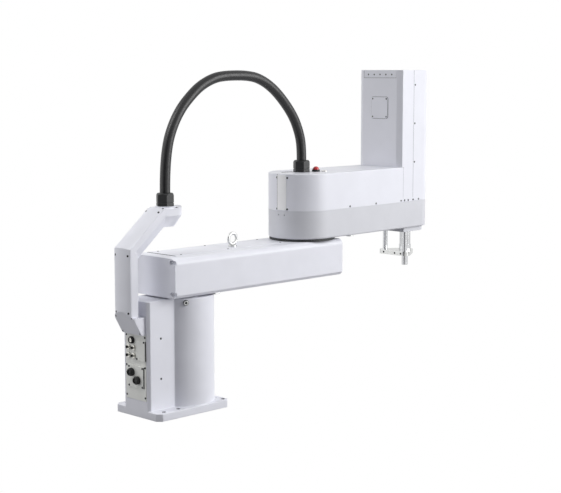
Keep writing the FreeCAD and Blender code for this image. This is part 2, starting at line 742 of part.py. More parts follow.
def arm1_profile(x, inset=0.0):
    """Cross-section of arm 1: rounded shoulders and bevelled lower edges."""
    half, low, top = ARM1_HALF - inset, ARM1_LOW + inset, ARM1_TOP - inset
    r, b = ARM1_ROUND, ARM1_BEVEL
    k = r * (1 - math.sqrt(0.5))
    right = Part.Arc(V(x, half, top - r), V(x, half - k, top - k), V(x, half - r, top)).toShape()
    left = Part.Arc(V(x, r - half, top), V(x, k - half, top - k), V(x, -half, top - r)).toShape()
    lower = Part.makePolygon([V(x, -half, top - r), V(x, -half, low + b), V(x, b - half, low),
                              V(x, half - b, low), V(x, half, low + b), V(x, half, top - r)])
    top_line = Part.makeLine(V(x, half - r, top), V(x, r - half, top))
    return Part.Wire(Part.__sortEdges__([right, top_line, left] + lower.Edges))


def arm1_bar(x0, x1, inset=0.0):
    return Part.Face(arm1_profile(x0, inset)).extrude(V(x1 - x0, 0, 0))


def arm1_beam(holes):
    bar = arm1_bar(ARM1_CAP - ARM1_REAR, ARM1_LENGTH + ARM1_FRONT)
    w = ARM1_WALL
    end = ARM1_LENGTH - J2_REDUCER_R - w
    hollow = box(ARM1_CAP + w - ARM1_REAR, end, w - ARM1_HALF + w, ARM1_HALF - 2 * w, ARM1_LOW + w,
                 ARM1_TOP - w)
    lap = TOP_COVER_LAP
    hatch = box(TOP_COVER_REAR + lap, TOP_COVER_FRONT - lap, lap - TOP_COVER_NEAR, TOP_COVER_FAR - lap,
                ARM1_TOP - w, ARM1_TOP)
    seat = box(TOP_COVER_REAR, TOP_COVER_FRONT, -TOP_COVER_NEAR, TOP_COVER_FAR,
               ARM1_TOP - TOP_COVER_THICK, ARM1_TOP)
    socket_z = ARM1_TOP - J2_REDUCER_DEPTH
    reducer_seat = rod(J2_REDUCER_R + SEAT_GAP, ARM1_LENGTH, 0, socket_z, ARM1_TOP)
    beam = bar.cut(hollow.fuse([hatch, seat, reducer_seat]))
    for screws in holes:
        beam = screws.cut(beam)
    return beam


def arm1_pocket_spots():
    for y in (-1, 1):
        yield y * (ARM1_HALF - POCKET_TOP[0]), ARM1_TOP - POCKET_TOP[1]
        yield y * (ARM1_HALF - POCKET_LOW[0]), ARM1_LOW + POCKET_LOW[1]


def arm1_rear_cap(screws):
    cap = arm1_bar(-ARM1_REAR, ARM1_CAP - ARM1_REAR)
    for y, z in arm1_pocket_spots():
        start = V(-ARM1_REAR, y, z)
        cap = cap.cut(Part.makeCylinder(POCKET_R, POCKET_DEPTH, start, V(1, 0, 0)))
        out = V(0, math.copysign(POCKET_R * 3, y), 0)
        slot = box(-ARM1_REAR, POCKET_DEPTH - ARM1_REAR, min(y, y + out.y), max(y, y + out.y),
                   z - POCKET_R, z + POCKET_R)
        cap = cap.cut(slot)
    return screws.cut(cap)


def arm1_cap_screws():
    screws = Screws(radius=SCREW_R, sink=1.8, proud=2.5)
    for y, z in arm1_pocket_spots():
        screws.add((POCKET_DEPTH - ARM1_REAR, y, z), (-1, 0, 0))
    return screws


def arm1_front_cap(screws):
    front = ARM1_LENGTH + ARM1_FRONT
    cap = arm1_bar(front, front + FRONT_CAP_THICK, FRONT_CAP_INSET)
    return screws.cut(cap.makeChamfer(1.5, [e for e in cap.Edges if e.BoundBox.XMin > front + 1]))


def arm1_front_screws():
    screws = Screws()
    x = ARM1_LENGTH + ARM1_FRONT + FRONT_CAP_THICK
    inset = FRONT_CAP_INSET + 4 * SCREW_R
    for y in (-1, 1):
        for z in (ARM1_LOW + inset, ARM1_TOP - inset):
            screws.add((x, y * (ARM1_HALF - inset), z), (1, 0, 0))
    return screws


def arm1_top_cover(screws):
    play = SEAT_GAP
    plate = box(TOP_COVER_REAR + TOP_COVER_GROOVE, TOP_COVER_FRONT - play, play - TOP_COVER_NEAR,
                TOP_COVER_FAR - play, ARM1_TOP - TOP_COVER_THICK, ARM1_TOP + TOP_COVER_PROUD)
    plate = plate.cut(rod(EYE_BOLT_COLLAR_R + SEAT_GAP, EYE_BOLT_X, 0, ARM1_LOW, ARM2_LOW))
    return screws.cut(plate)


def arm1_top_screws():
    screws = Screws(sink=1.8)
    inset = TOP_COVER_LAP
    for x in (TOP_COVER_REAR + 2 * inset, EYE_BOLT_X - 6 * inset, TOP_COVER_FRONT - inset):
        for y in (inset - TOP_COVER_NEAR, TOP_COVER_FAR - inset):
            screws.add((x, y, ARM1_TOP + TOP_COVER_PROUD), (0, 0, 1))
    return screws


def eye_bolt_bridge():
    """Rib across the hatch that the eye bolt screws into."""
    lap = TOP_COVER_LAP
    wide = EYE_BOLT_COLLAR_R * 1.5
    rib = box(EYE_BOLT_X - wide, EYE_BOLT_X + wide, lap - TOP_COVER_NEAR, TOP_COVER_FAR - lap,
              ARM1_TOP - ARM1_WALL, ARM1_TOP - TOP_COVER_THICK)
    return rib.cut(rod(EYE_BOLT_SHANK_R + SCREW_PLAY, EYE_BOLT_X, 0, ARM1_LOW, ARM1_TOP))


def eye_bolt():
    seat = ARM1_TOP - TOP_COVER_THICK
    collar = rod(EYE_BOLT_COLLAR_R, EYE_BOLT_X, 0, seat, seat + EYE_BOLT_COLLAR_HEIGHT)
    shank = rod(EYE_BOLT_SHANK_R, EYE_BOLT_X, 0, seat - EYE_BOLT_SHANK, seat)
    high = seat + EYE_BOLT_COLLAR_HEIGHT + EYE_BOLT_RING_R + EYE_BOLT_WIRE_R / 2
    ring = Part.makeTorus(EYE_BOLT_RING_R - EYE_BOLT_WIRE_R / 2, EYE_BOLT_WIRE_R, V(EYE_BOLT_X, 0, high),
                          V(0, 1, 0))
    return collar.fuse([shank, ring])


def j1_flange():
    plate = rod(J1_FLANGE_R, 0, 0, COLUMN_TOP + SEAT_GAP, ARM1_LOW)
    return plate.fuse(rod(PILOT_R, 0, 0, COLUMN_TOP - PILOT_DEPTH, COLUMN_TOP + SEAT_GAP))


def j1_stop():
    length, width, height = J1_STOP_SIZE
    x, y = J1_STOP_SPOT
    return box(x - length / 2, x + length / 2, y - width / 2, y + width / 2, ARM1_LOW - height, ARM1_LOW)


def j2_reducer():
    body = rod(J2_REDUCER_R, ARM1_LENGTH, 0, ARM1_TOP - J2_REDUCER_DEPTH, ARM1_TOP)
    ring = rod(J2_RING_R, ARM1_LENGTH, 0, ARM1_TOP, ARM2_LOW - SEAT_GAP)
    pilot = rod(PILOT_R + RUNNING_FIT, ARM1_LENGTH, 0, ARM2_LOW - PILOT_DEPTH - SEAT_GAP, ARM2_LOW)
    return body.fuse(ring).cut(pilot)


# Arm 2

def arm2_outline(z0, z1, inset=0.0):
    """Tapered stadium: round at joint 2, with rounded corners at the tower end."""
    corner_x = TIP_X - ARM2_TIP_CORNER
    corner_y = ARM2_TIP_HALF - ARM2_TIP_CORNER
    r = ARM2_TIP_CORNER - inset
    return hull([(ARM1_LENGTH, 0, ARM2_REAR_R - inset), (corner_x, -corner_y, r), (corner_x, corner_y, r)],
                z0, z1)


def arm2_side(x):
    """Half width of arm 2 at a place along its straight side, and the way its side faces."""
    dx = TIP_X - ARM2_TIP_CORNER - ARM1_LENGTH
    dy = ARM2_TIP_HALF - ARM2_TIP_CORNER
    out = math.atan2(-dy, dx) - math.acos((ARM2_REAR_R - ARM2_TIP_CORNER) / math.hypot(dx, dy))
    half = (ARM2_REAR_R - (x - ARM1_LENGTH) * math.cos(out)) / -math.sin(out)
    return half, math.cos(out), math.sin(out)


def side_screws(spots):
    """Screws on both sides of arm 2 at (x, z) spots."""
    screws = Screws()
    for x, z in spots:
        half, nx, ny = arm2_side(x)
        screws.add((x, -half, z), (nx, ny, 0))
        screws.add((x, half, z), (nx, -ny, 0))
    return screws


def cover_screws():
    first, last = ARM1_LENGTH + COVER_SCREW_START, SHAFT_X - COVER_SCREW_BACK
    return side_screws([(x, SEAM + SCREW_R * 1.5) for x in (first, (first + last) / 2, last)])


def tip_screws():
    return side_screws([(x, SEAM + SCREW_R * 1.5) for x in (SHAFT_X - back for back in TIP_SCREWS_BACK)])


def tower_side_screws():
    x = SPLIT_X + 2 * SCREW_R
    return side_screws([(x, ARM2_TOP + up) for up in TOWER_SCREW_UP])


def arm2_casting():
    body = arm2_outline(ARM2_LOW, SEAM)
    body = body.makeFillet(CASTING_EDGE, edges_at(body, ARM2_LOW))
    body = body.cut(arm2_outline(FLOOR_TOP, SEAM, CASTING_WALL))
    pilot = rod(PILOT_R, ARM1_LENGTH, 0, ARM2_LOW - PILOT_DEPTH, ARM2_LOW + CASTING_FLOOR / 2)
    body = body.fuse(pilot)
    holes = [rod(NUT_R + RUNNING_FIT, SHAFT_X, 0, ARM2_LOW, FLOOR_TOP)]
    for y in (-ROD_Y, ROD_Y):
        holes.append(rod(BUSHING_R, ROD_X, y, ARM2_LOW, FLOOR_TOP))
    for degrees in TAP_HOLE_TURNS:
        out = V(math.cos(math.radians(degrees)), math.sin(math.radians(degrees)), 0)
        start = V(ARM1_LENGTH, 0, TAP_HOLE_Z) + out * (ARM2_REAR_R - TAP_HOLE_DEPTH)
        holes.append(Part.makeCylinder(TAP_HOLE_R, 2 * TAP_HOLE_DEPTH, start, out))
    return body.cut(holes[0].fuse(holes[1:]))


def arm2_cover(screws):
    body = arm2_outline(SEAM, ARM2_TOP)
    body = body.makeFillet(COVER_EDGE, edges_at(body, ARM2_TOP))
    body = body.cut(arm2_outline(SEAM, ARM2_TOP - COVER_WALL, COVER_WALL))
    far = TIP_X + COVER_WALL
    body = body.cut(box(SIDE_START_X, far, -ARM2_REAR_R, ARM2_REAR_R, SEAM, ARM2_TOP))
    shaft_well = arm2_outline(SEAM, ARM2_TOP, COVER_WALL)
    rear = TOWER_REAR_X + COVER_WALL
    well = shaft_well.common(box(rear, far, -ARM2_REAR_R, ARM2_REAR_R, SEAM, ARM2_TOP))
    body = body.cut(well)
    for x, y, r in ((ARM_GLAND_X, 0, GLAND_NOSE_R), (BUTTON_X, BUTTON_Y, BEZEL_STEM_R + SEAT_GAP),
                    (PORT_X, PORT_Y, PORT_R * 0.7)):
        body = body.cut(rod(r, x, y, ARM2_TOP - COVER_WALL, ARM2_TOP))
    body = body.cut(box(*TOP_SLOT, ARM2_TOP - COVER_WALL / 2, ARM2_TOP))
    for group in screws:
        body = group.cut(body)
    return body


def ring_sector(inner, outer, a0, a1, z0, z1):
    """Part of a ring round joint 2 between two angles in degrees."""
    ring = tube(outer, inner, ARM1_LENGTH, 0, z0, z1)
    reach = 2 * outer
    middle = math.radians((a0 + a1) / 2)
    points = [(0.0, 0.0)] + [(reach * math.cos(a), reach * math.sin(a))
                             for a in (math.radians(a0), middle, math.radians(a1))]
    wedge = prism([(ARM1_LENGTH + x, y) for x, y in points], z0, z1)
    return ring.common(wedge)


def access_strip():
    low, high = SEAM + STRIP_MARGIN, ARM2_TOP - COVER_EDGE
    return ring_sector(ARM2_REAR_R, ARM2_REAR_R + STRIP_THICK, STRIP_START, STRIP_END, low, high)


def strip_screws():
    screws = Screws()
    for degrees in (STRIP_START - STRIP_SCREW_TURN, STRIP_END + STRIP_SCREW_TURN):
        turn = math.radians(degrees)
        out = (math.cos(turn), math.sin(turn), 0)
        for z in STRIP_SCREW_HEIGHTS:
            screws.add((ARM1_LENGTH + ARM2_REAR_R * out[0], ARM2_REAR_R * out[1], z), out)
    return screws


def bezel():
    low = ARM2_TOP - COVER_WALL
    body = rod(BEZEL_STEM_R, BUTTON_X, BUTTON_Y, low, ARM2_TOP + BEZEL_HEIGHT)
    body = body.fuse(rod(BEZEL_R, BUTTON_X, BUTTON_Y, ARM2_TOP, ARM2_TOP + BEZEL_HEIGHT))
    return body.cut(rod(BUTTON_STEM_R + RUNNING_FIT, BUTTON_X, BUTTON_Y, low, ARM2_TOP + BEZEL_HEIGHT))


def brake_button():
    """Mushroom head on a stem: a dome whose edge clears the bezel by its travel."""
    low = ARM2_TOP + BEZEL_HEIGHT + BUTTON_TRAVEL + SEAT_GAP
    dome_r = (BUTTON_R ** 2 + BUTTON_HEIGHT ** 2) / (2 * BUTTON_HEIGHT)
    ball = Part.makeSphere(dome_r, V(BUTTON_X, BUTTON_Y, low + BUTTON_HEIGHT - dome_r))
    head = ball.common(rod(BUTTON_R, BUTTON_X, BUTTON_Y, low, low + BUTTON_HEIGHT))
    stem_low = ARM2_TOP - COVER_WALL / 2 + BUTTON_TRAVEL
    return head.fuse(rod(BUTTON_STEM_R, BUTTON_X, BUTTON_Y, stem_low, low))


def top_port():
    body = rod(PORT_R, PORT_X, PORT_Y, ARM2_TOP, ARM2_TOP + PORT_HEIGHT)
    body = body.fuse(rod(PORT_R * 0.7 - SCREW_PLAY, PORT_X, PORT_Y, ARM2_TOP - COVER_WALL, ARM2_TOP))
    return body.cut(rod(PORT_R * 0.5, PORT_X, PORT_Y, ARM2_TOP, ARM2_TOP + PORT_HEIGHT))


def j2_stop_pin():
    return rod(STOP_PIN_R, STOP_PIN_X, STOP_PIN_Y, ARM2_LOW - STOP_PIN_HEIGHT, ARM2_LOW)


def j2_motor():
    return rod(J2_MOTOR_R, ARM1_LENGTH, 0, FLOOR_TOP, FLOOR_TOP + J2_MOTOR_LENGTH)


# Z tower

def tower_shell(z0, z1, ceiling=None):
    """Outline of the tower with a chamfered flat rear, hollow up to the ceiling."""
    return tower_section(z0, z1, 0.0).cut(tower_section(z0, ceiling or z1, COVER_WALL))


def tower_section(z0, z1, inset):
    rear = TOWER_REAR_X + inset
    body = arm2_outline(z0, z1, inset).common(box(rear, TIP_X, -ARM2_REAR_R, ARM2_REAR_R, z0, z1))
    half, deep = arm2_side(TOWER_REAR_X)[0], TOWER_CHAMFER
    for side in (-1, 1):
        flat, wide = side * (half - TOWER_CHAMFER_WIDTH), side * half
        shift = inset * (math.hypot(deep, TOWER_CHAMFER_WIDTH) / TOWER_CHAMFER_WIDTH)
        corner = [(TOWER_REAR_X - deep + shift, flat + side * -TOWER_CHAMFER_WIDTH),
                  (TOWER_REAR_X + 2 * deep + shift, wide + side * TOWER_CHAMFER_WIDTH),
                  (TOWER_REAR_X - deep, wide + side * TOWER_CHAMFER_WIDTH)]
        body = body.cut(prism(corner, z0, z1))
    return body


def tower_rear_cover(screws):
    wide = ARM2_REAR_R
    upper = tower_shell(ARM2_TOP, TOWER_TOP).common(box(0, SPLIT_X, -wide, wide, ARM2_TOP, TOWER_TOP))
    lower = tower_shell(SEAM, ARM2_TOP).common(box(SIDE_START_X, SPLIT_X, -wide, wide, SEAM, ARM2_TOP))
    body = upper.fuse(lower).removeSplitter()
    strip = CAP_STRIP_HALF + CAP_PLAY
    body = body.cut(box(0, TOWER_REAR_X + COVER_WALL, -strip, strip, TOWER_JOIN - CAP_PLAY, TOWER_TOP))
    for group in screws:
        body = group.cut(body)
    return body


def tower_front_cover(screws):
    wide = ARM2_REAR_R
    body = tower_shell(SEAM, TOWER_TOP).common(box(SPLIT_X, TIP_X, -wide, wide, SEAM, TOWER_TOP))
    for group in screws:
        body = group.cut(body)
    return body


def tower_cap(screws):
    """Lid let in between the covers, with a strip that hangs down at the rear."""
    lid = tower_section(TOWER_TOP - COVER_WALL, TOWER_TOP, COVER_WALL)
    strip = box(TOWER_REAR_X, TOWER_REAR_X + COVER_WALL, -CAP_STRIP_HALF, CAP_STRIP_HALF, TOWER_JOIN,
                TOWER_TOP)
    return screws.cut(lid.fuse(strip).removeSplitter())


def cap_screws():
    screws = Screws(radius=SCREW_R * 0.8)
    for y in CAP_SCREW_Y:
        screws.add((TOWER_REAR_X, y, TOWER_JOIN + TOWER_CAP_HEIGHT * 0.42), (-1, 0, 0))
    return screws


def hatch(screws):
    plate = box(TOWER_REAR_X - HATCH_THICK, TOWER_REAR_X, -HATCH_HALF_WIDTH, HATCH_HALF_WIDTH,
                ARM2_TOP + HATCH_LOW, ARM2_TOP + HATCH_HIGH)
    corners = [e for e in plate.Edges if abs(e.BoundBox.XLength - HATCH_THICK) < 0.01]
    return screws.cut(plate.makeFillet(HATCH_CORNER, corners))


def hatch_screws():
    screws = Screws(radius=SCREW_R * 0.8, sink=1.4)
    inset = 1.9 * SCREW_R
    for y in (-1, 1):
        for z in (HATCH_LOW + inset, HATCH_HIGH - inset):
            screws.add((TOWER_REAR_X - HATCH_THICK, y * (HATCH_HALF_WIDTH - inset), ARM2_TOP + z),
                       (-1, 0, 0))
    return screws


def tower_base_plate():
    """Plate under the casting that holds the spline nut and the rod bushings."""
    low = ARM2_LOW - BASE_PLATE_THICK
    body = arm2_outline(low, ARM2_LOW, BASE_PLATE_INSET)
    rear = SHAFT_X - BASE_PLATE_BACK
    body = body.common(box(rear, TIP_X, -ARM2_REAR_R, ARM2_REAR_R, low, ARM2_LOW))
    body = body.cut(rod(NUT_R + RUNNING_FIT, SHAFT_X, 0, low + SKIN_WALL, ARM2_LOW))
    body = body.cut(rod(SHAFT_R + 2 * SEAT_GAP, SHAFT_X, 0, low, ARM2_LOW))
    for y in (-ROD_Y, ROD_Y):
        body = body.cut(rod(ROD_R + SEAT_GAP, ROD_X, y, low, ARM2_LOW))
    return body


def top_bracket():
    """Shelf across the tower that carries the Z motor and the top of the ball screw."""
    low, high = TOP_BRACKET_LOW, TOP_BRACKET_LOW + TOP_BRACKET_THICK
    body = tower_section(low, high, COVER_WALL + SEAT_GAP)
    body = body.cut(rod(BALL_SCREW_R + RUNNING_FIT, SCREW_AXIS_X, 0, low, high))
    return body.cut(rod(MOTOR_PULLEY_R / 2 + SEAT_GAP, Z_MOTOR_X, 0, low, high))


def motor(x, r, low, high, pulley_low):
    """Motor body with its shaft and toothed pulley above or below it."""
    body = rod(r, x, 0, low, high)
    shaft_low, shaft_high = min(low, pulley_low), max(high, pulley_low + PULLEY_HEIGHT)
    body = body.fuse(rod(MOTOR_PULLEY_R / 2, x, 0, shaft_low, shaft_high))
    return body.fuse(rod(MOTOR_PULLEY_R, x, 0, pulley_low, pulley_low + PULLEY_HEIGHT))


def belt(xa, ra, xb, rb, low):
    """Flat loop round two pulleys, from the rear one to the front one."""
    gap = BELT_PLAY
    z0 = low + (PULLEY_HEIGHT - BELT_WIDTH) / 2
    outer = hull([(xa, 0, ra + gap + BELT_WALL), (xb, 0, rb + gap + BELT_WALL)], z0, z0 + BELT_WIDTH)
    return outer.cut(hull([(xa, 0, ra + gap), (xb, 0, rb + gap)], z0, z0 + BELT_WIDTH))


def j4_bracket():
    """Table on four legs over the belt, under the joint 4 motor."""
    x = J4_MOTOR_X
    low = BELT_LOW + PULLEY_HEIGHT + PULLEY_GAP
    half, side = J4_BRACKET_HALF, J4_BRACKET_SIDE
    table = rounded_box(x - half, x + half, -side, side, low, low + J4_BRACKET_THICK, J4_LEG_R)
    legs = [rod(J4_LEG_R, x + a * (half - J4_LEG_R), b * (side - J4_LEG_R), FLOOR_TOP, low)
            for a in (-1, 1) for b in (-1, 1)]
    table = table.fuse(legs)
    return table.cut(rod(MOTOR_PULLEY_R / 2 + SEAT_GAP, x, 0, low, low + J4_BRACKET_THICK))


def spline_nut():
    """Turning nut round the tool shaft, with the joint 4 pulley on it."""
    low = ARM2_LOW - BASE_PLATE_THICK + SKIN_WALL + SEAT_GAP
    high = BELT_LOW + PULLEY_HEIGHT
    body = rod(NUT_R, SHAFT_X, 0, low, high).fuse(rod(NUT_PULLEY_R, SHAFT_X, 0, BELT_LOW, high))
    return body.cut(rod(SHAFT_R + RUNNING_FIT, SHAFT_X, 0, low, high))


def ball_screw():
    high = BELT_HIGH + PULLEY_HEIGHT
    body = rod(BALL_SCREW_R, SCREW_AXIS_X, 0, FLOOR_TOP + SEAT_GAP, high)
    return body.fuse(rod(SCREW_PULLEY_R, SCREW_AXIS_X, 0, BELT_HIGH, high))


# Z carriage and tool shaft

def carriage_outline(z0, z1):
    return hull([(ROD_X, -ROD_Y, LINK_ROD_R), (SHAFT_X, 0, LINK_BOSS_R), (ROD_X, ROD_Y, LINK_ROD_R)],
                z0, z1)


def carriage_holes(z0, z1, screw_hole=0.0):
    holes = [rod(SHAFT_R + RUNNING_FIT, SHAFT_X, 0, z0, z1)]
    holes += [rod(ROD_R, ROD_X, y, z0, z1) for y in (-ROD_Y, ROD_Y)]
    if screw_hole:
        holes.append(rod(screw_hole, SCREW_AXIS_X, 0, z0, z1))
    return holes[0].fuse(holes[1:])


def clamp_screws():
    screws = Screws()
    face = ROD_X - LINK_ROD_R
    for y in CLAMP_SCREW_Y:
        screws.add((face, y, LINK_LOW + LINK_THICK / 2), (-1, 0, 0))
    return screws


def link_plate(screws):
    """Plate that ties the guide rods to the tool shaft below the arm."""
    body = carriage_outline(LINK_LOW, LINK_TOP)
    body = body.cut(carriage_holes(LINK_LOW, LINK_TOP))
    inner, outer = ROD_Y + ROD_R / 2, ROD_Y + LINK_ROD_R
    for y0, y1 in ((inner, outer), (-outer, -inner)):
        body = body.cut(box(ROD_X - CLAMP_SLIT, ROD_X + CLAMP_SLIT, y0, y1, LINK_LOW, LINK_TOP))
    return screws.cut(body)


def carriage_block():
    body = carriage_outline(CARRIAGE_LOW, CARRIAGE_TOP)
    return body.cut(carriage_holes(CARRIAGE_LOW, CARRIAGE_TOP, BALL_NUT_R))


def guide_rod(y):
    return rod(ROD_R, ROD_X, y, LINK_LOW, CARRIAGE_TOP)


def ball_nut():
    return tube(BALL_NUT_R, BALL_SCREW_R + SEAT_GAP, SCREW_AXIS_X, 0, CARRIAGE_LOW, CARRIAGE_TOP)


def tool_shaft():
    shaft = rod(SHAFT_R, SHAFT_X, 0, LINK_LOW, SHAFT_TOP)
    end_low = LINK_LOW - SHAFT_END_LENGTH
    end = rod(SHAFT_END_R, SHAFT_X, 0, end_low, LINK_LOW)
    end = end.makeChamfer(SHAFT_END_CHAMFER, edges_at(end, end_low))
    return shaft.fuse(end)


def shaft_collar():
    low = LINK_TOP + SEAT_GAP
    return tube(SHAFT_COLLAR_R, SHAFT_R, SHAFT_X, 0, low, low + SHAFT_COLLAR_HEIGHT)


def bushings():
    return [tube(BUSHING_R - RUNNING_FIT, ROD_R + RUNNING_FIT, ROD_X, y, ARM2_LOW,
                 ARM2_LOW + BUSHING_HEIGHT)
            for y in (-ROD_Y, ROD_Y)]


def build_base():
    panel_set, plate_set, side_set = panel_screws(), subplate_screws(), box_screws()
    save("base_casting", base_casting(side_set))
    save("connector_panel", connector_panel(panel_set))
    save("upper_subplate", subplate(UPPER_PLATE, plate_set))
    save("lower_subplate", subplate(LOWER_PLATE, plate_set))
    save("base_screws", *panel_set.solids(), *plate_set.solids(), *side_set.solids())
    save("power_connectors", *[socket(y, z, POWER_R, POWER_LENGTH, SUBPLATE_THICK)
                               for y, z in POWER_SPOTS])
    save("signal_connector", socket(*SIGNAL_SPOT, SIGNAL_R, SIGNAL_LENGTH))
    save("air_fittings", *[air_fitting(y, z) for y, z in AIR_SPOTS])
    save("j1_stop_bolt", stop_bolt())
    save("j1_reducer", j1_reducer())
    save("j1_motor", j1_motor())


def build_duct():
    rear_set, top_set = duct_rear_screws(), duct_top_screws()
    save("duct_body", duct_body())
    save("duct_foot", duct_foot())
    save("duct_rear_cover", duct_rear_cover(rear_set))
    save("duct_gland_plate", gland_plate(top_set))
    save("duct_screws", *rear_set.solids(), *top_set.solids())
    save("base_gland", gland_body(BASE_GLAND_X, GLAND_SEAT), gland_nut(BASE_GLAND_X, GLAND_SEAT))


def build_arm1():
    cap_set, front_set, top_set = arm1_cap_screws(), arm1_front_screws(), arm1_top_screws()
    save("arm_1_beam", arm1_beam([cap_set]).fuse(eye_bolt_bridge()))
    save("arm_1_rear_cap", arm1_rear_cap(cap_set))
    save("arm_1_front_cap", arm1_front_cap(front_set))
    save("arm_1_top_cover", arm1_top_cover(top_set))
    save("arm_1_screws", *cap_set.solids(), *front_set.solids(), *top_set.solids())
    save("eye_bolt", eye_bolt())
    save("j1_output_flange", j1_flange())
    save("j1_stop", j1_stop())
    save("j2_reducer", j2_reducer())
    save("hose_lower", hose_tube(LOWER_ROUTE))
    save("hose_upper", hose_tube(UPPER_ROUTE))


def build_arm2():
    seam_set, tip_set, strip_set = cover_screws(), tip_screws(), strip_screws()
    save("arm_2_casting", arm2_casting())
    save("arm_2_cover", arm2_cover([seam_set, strip_set]))
    save("arm_2_access_strip", access_strip())
    save("arm_gland", gland_body(ARM_GLAND_X, ARM2_TOP), gland_nut(ARM_GLAND_X, ARM2_TOP))
    save("button_bezel", bezel())
    save("brake_button", brake_button())
    save("top_port", top_port())
    save("j2_stop_pin", j2_stop_pin())
    save("j2_motor", j2_motor())
    tower_set = build_tower(tip_set)
    save("arm_2_screws", *seam_set.solids(), *strip_set.solids(), *tip_set.solids(), *tower_set)


def build_tower(tip_set):
    side_set, cap_set, hatch_set = tower_side_screws(), cap_screws(), hatch_screws()
    save("tower_rear_cover", tower_rear_cover([tip_set]))
    save("tower_front_cover", tower_front_cover([tip_set, side_set]))
    save("tower_cap", tower_cap(cap_set))
    save("tower_hatch", hatch(hatch_set))
    save("tower_base_plate", tower_base_plate())
    save("tower_top_bracket", top_bracket())
    return side_set.solids() + cap_set.solids() + hatch_set.solids()


def build_z_axis():
    z_x, j4_x, screw_x = Z_MOTOR_X, J4_MOTOR_X, SCREW_AXIS_X
    table_top = BELT_LOW + PULLEY_HEIGHT + PULLEY_GAP + J4_BRACKET_THICK
    save("rod_bushings", *bushings())
    save("z_motor", motor(z_x, Z_MOTOR_R, TOP_BRACKET_LOW - Z_MOTOR_LENGTH, TOP_BRACKET_LOW, BELT_HIGH))
    save("z_belt", belt(z_x, MOTOR_PULLEY_R, screw_x, SCREW_PULLEY_R, BELT_HIGH))
    save("ball_screw", ball_screw())
    save("screw_bearing", tube(SCREW_BEARING_R, BALL_SCREW_R + RUNNING_FIT, screw_x, 0, FLOOR_TOP,
                               FLOOR_TOP + SCREW_BEARING_HEIGHT))
    save("j4_motor_bracket", j4_bracket())
    save("j4_motor", motor(j4_x, J4_MOTOR_R, table_top, table_top + J4_MOTOR_LENGTH, BELT_LOW))
    save("j4_belt", belt(j4_x, MOTOR_PULLEY_R, SHAFT_X, NUT_PULLEY_R, BELT_LOW))
    save("spline_nut", spline_nut())


def build_carriage():
    clamp_set = clamp_screws()
    save("link_plate", link_plate(clamp_set))
    save("clamp_screws", *clamp_set.solids())
    save("guide_rods", guide_rod(-ROD_Y), guide_rod(ROD_Y))
    save("carriage_block", carriage_block())
    save("ball_nut", ball_nut())
    save("tool_shaft", tool_shaft())
    save("shaft_collar", shaft_collar())


os.makedirs("parts", exist_ok=True)
build_base()
build_duct()
build_arm1()
build_arm2()
build_z_axis()
build_carriage()
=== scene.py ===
import json
import math

import bmesh
import bpy
from bpy.props import FloatProperty, FloatVectorProperty, PointerProperty
from bpy.types import Operator, Panel, PropertyGroup
from mathutils import Matrix, Vector

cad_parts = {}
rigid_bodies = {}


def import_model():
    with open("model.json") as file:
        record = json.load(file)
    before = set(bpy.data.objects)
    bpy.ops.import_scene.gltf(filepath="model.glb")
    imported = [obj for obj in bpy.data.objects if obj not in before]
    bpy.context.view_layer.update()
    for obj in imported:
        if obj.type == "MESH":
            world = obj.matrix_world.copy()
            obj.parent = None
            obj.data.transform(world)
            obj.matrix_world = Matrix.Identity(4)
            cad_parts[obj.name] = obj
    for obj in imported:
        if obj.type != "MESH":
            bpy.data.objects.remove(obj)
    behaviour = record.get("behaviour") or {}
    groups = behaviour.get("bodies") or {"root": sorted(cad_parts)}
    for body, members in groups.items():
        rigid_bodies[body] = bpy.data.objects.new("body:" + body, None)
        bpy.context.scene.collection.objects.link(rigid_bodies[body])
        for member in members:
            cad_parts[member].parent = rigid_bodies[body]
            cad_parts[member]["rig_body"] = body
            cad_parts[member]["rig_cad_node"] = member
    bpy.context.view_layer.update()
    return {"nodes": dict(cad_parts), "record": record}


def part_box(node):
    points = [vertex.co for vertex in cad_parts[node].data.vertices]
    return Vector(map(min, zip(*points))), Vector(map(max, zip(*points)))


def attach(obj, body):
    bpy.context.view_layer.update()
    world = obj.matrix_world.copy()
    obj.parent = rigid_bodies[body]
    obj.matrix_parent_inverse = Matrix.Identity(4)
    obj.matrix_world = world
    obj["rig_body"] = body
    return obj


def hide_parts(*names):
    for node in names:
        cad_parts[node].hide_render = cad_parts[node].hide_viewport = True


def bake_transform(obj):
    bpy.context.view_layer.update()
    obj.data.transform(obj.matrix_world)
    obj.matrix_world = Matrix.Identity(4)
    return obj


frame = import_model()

bl_info = {
    "name": "SCARA robot",
    "version": (1, 0, 0),
    "blender": (4, 5, 0),
    "location": "View3D > Sidebar > SCARA robot",
    "description": "Dresses the packed SCARA robot in paint, steel, rubber and small fittings",
    "category": "Object",
}

MM = 0.001

# Hose route as (x, z) in metres, the same points as the solid hoses follow
LOWER_ROUTE = ((-0.057, 0.628), (-0.057, 0.740), (-0.014, 0.846), (0.060, 0.917), (0.120, 0.947),
               (0.174, 0.957), (0.225, 0.957))
UPPER_ROUTE = ((0.225, 0.957), (0.280, 0.957), (0.340, 0.938), (0.396, 0.901), (0.457, 0.838),
               (0.485, 0.785), (0.497, 0.739), (0.497, 0.696))

# A point inside the housing behind each group of screws, so that every head faces away from it
SCREW_CORES = {
    "base_screws": ((-0.12, 0, 0.15),),
    "duct_screws": ((-0.20, 0, 0.38), (-0.08, 0, 0.50)),
    "arm_1_screws": ((0.20, 0, 0.39),),
    "arm_2_screws": ((0.75, 0, 0.60), (0.95, 0, 0.80)),
    "clamp_screws": ((1.00, 0, 0.366),),
}


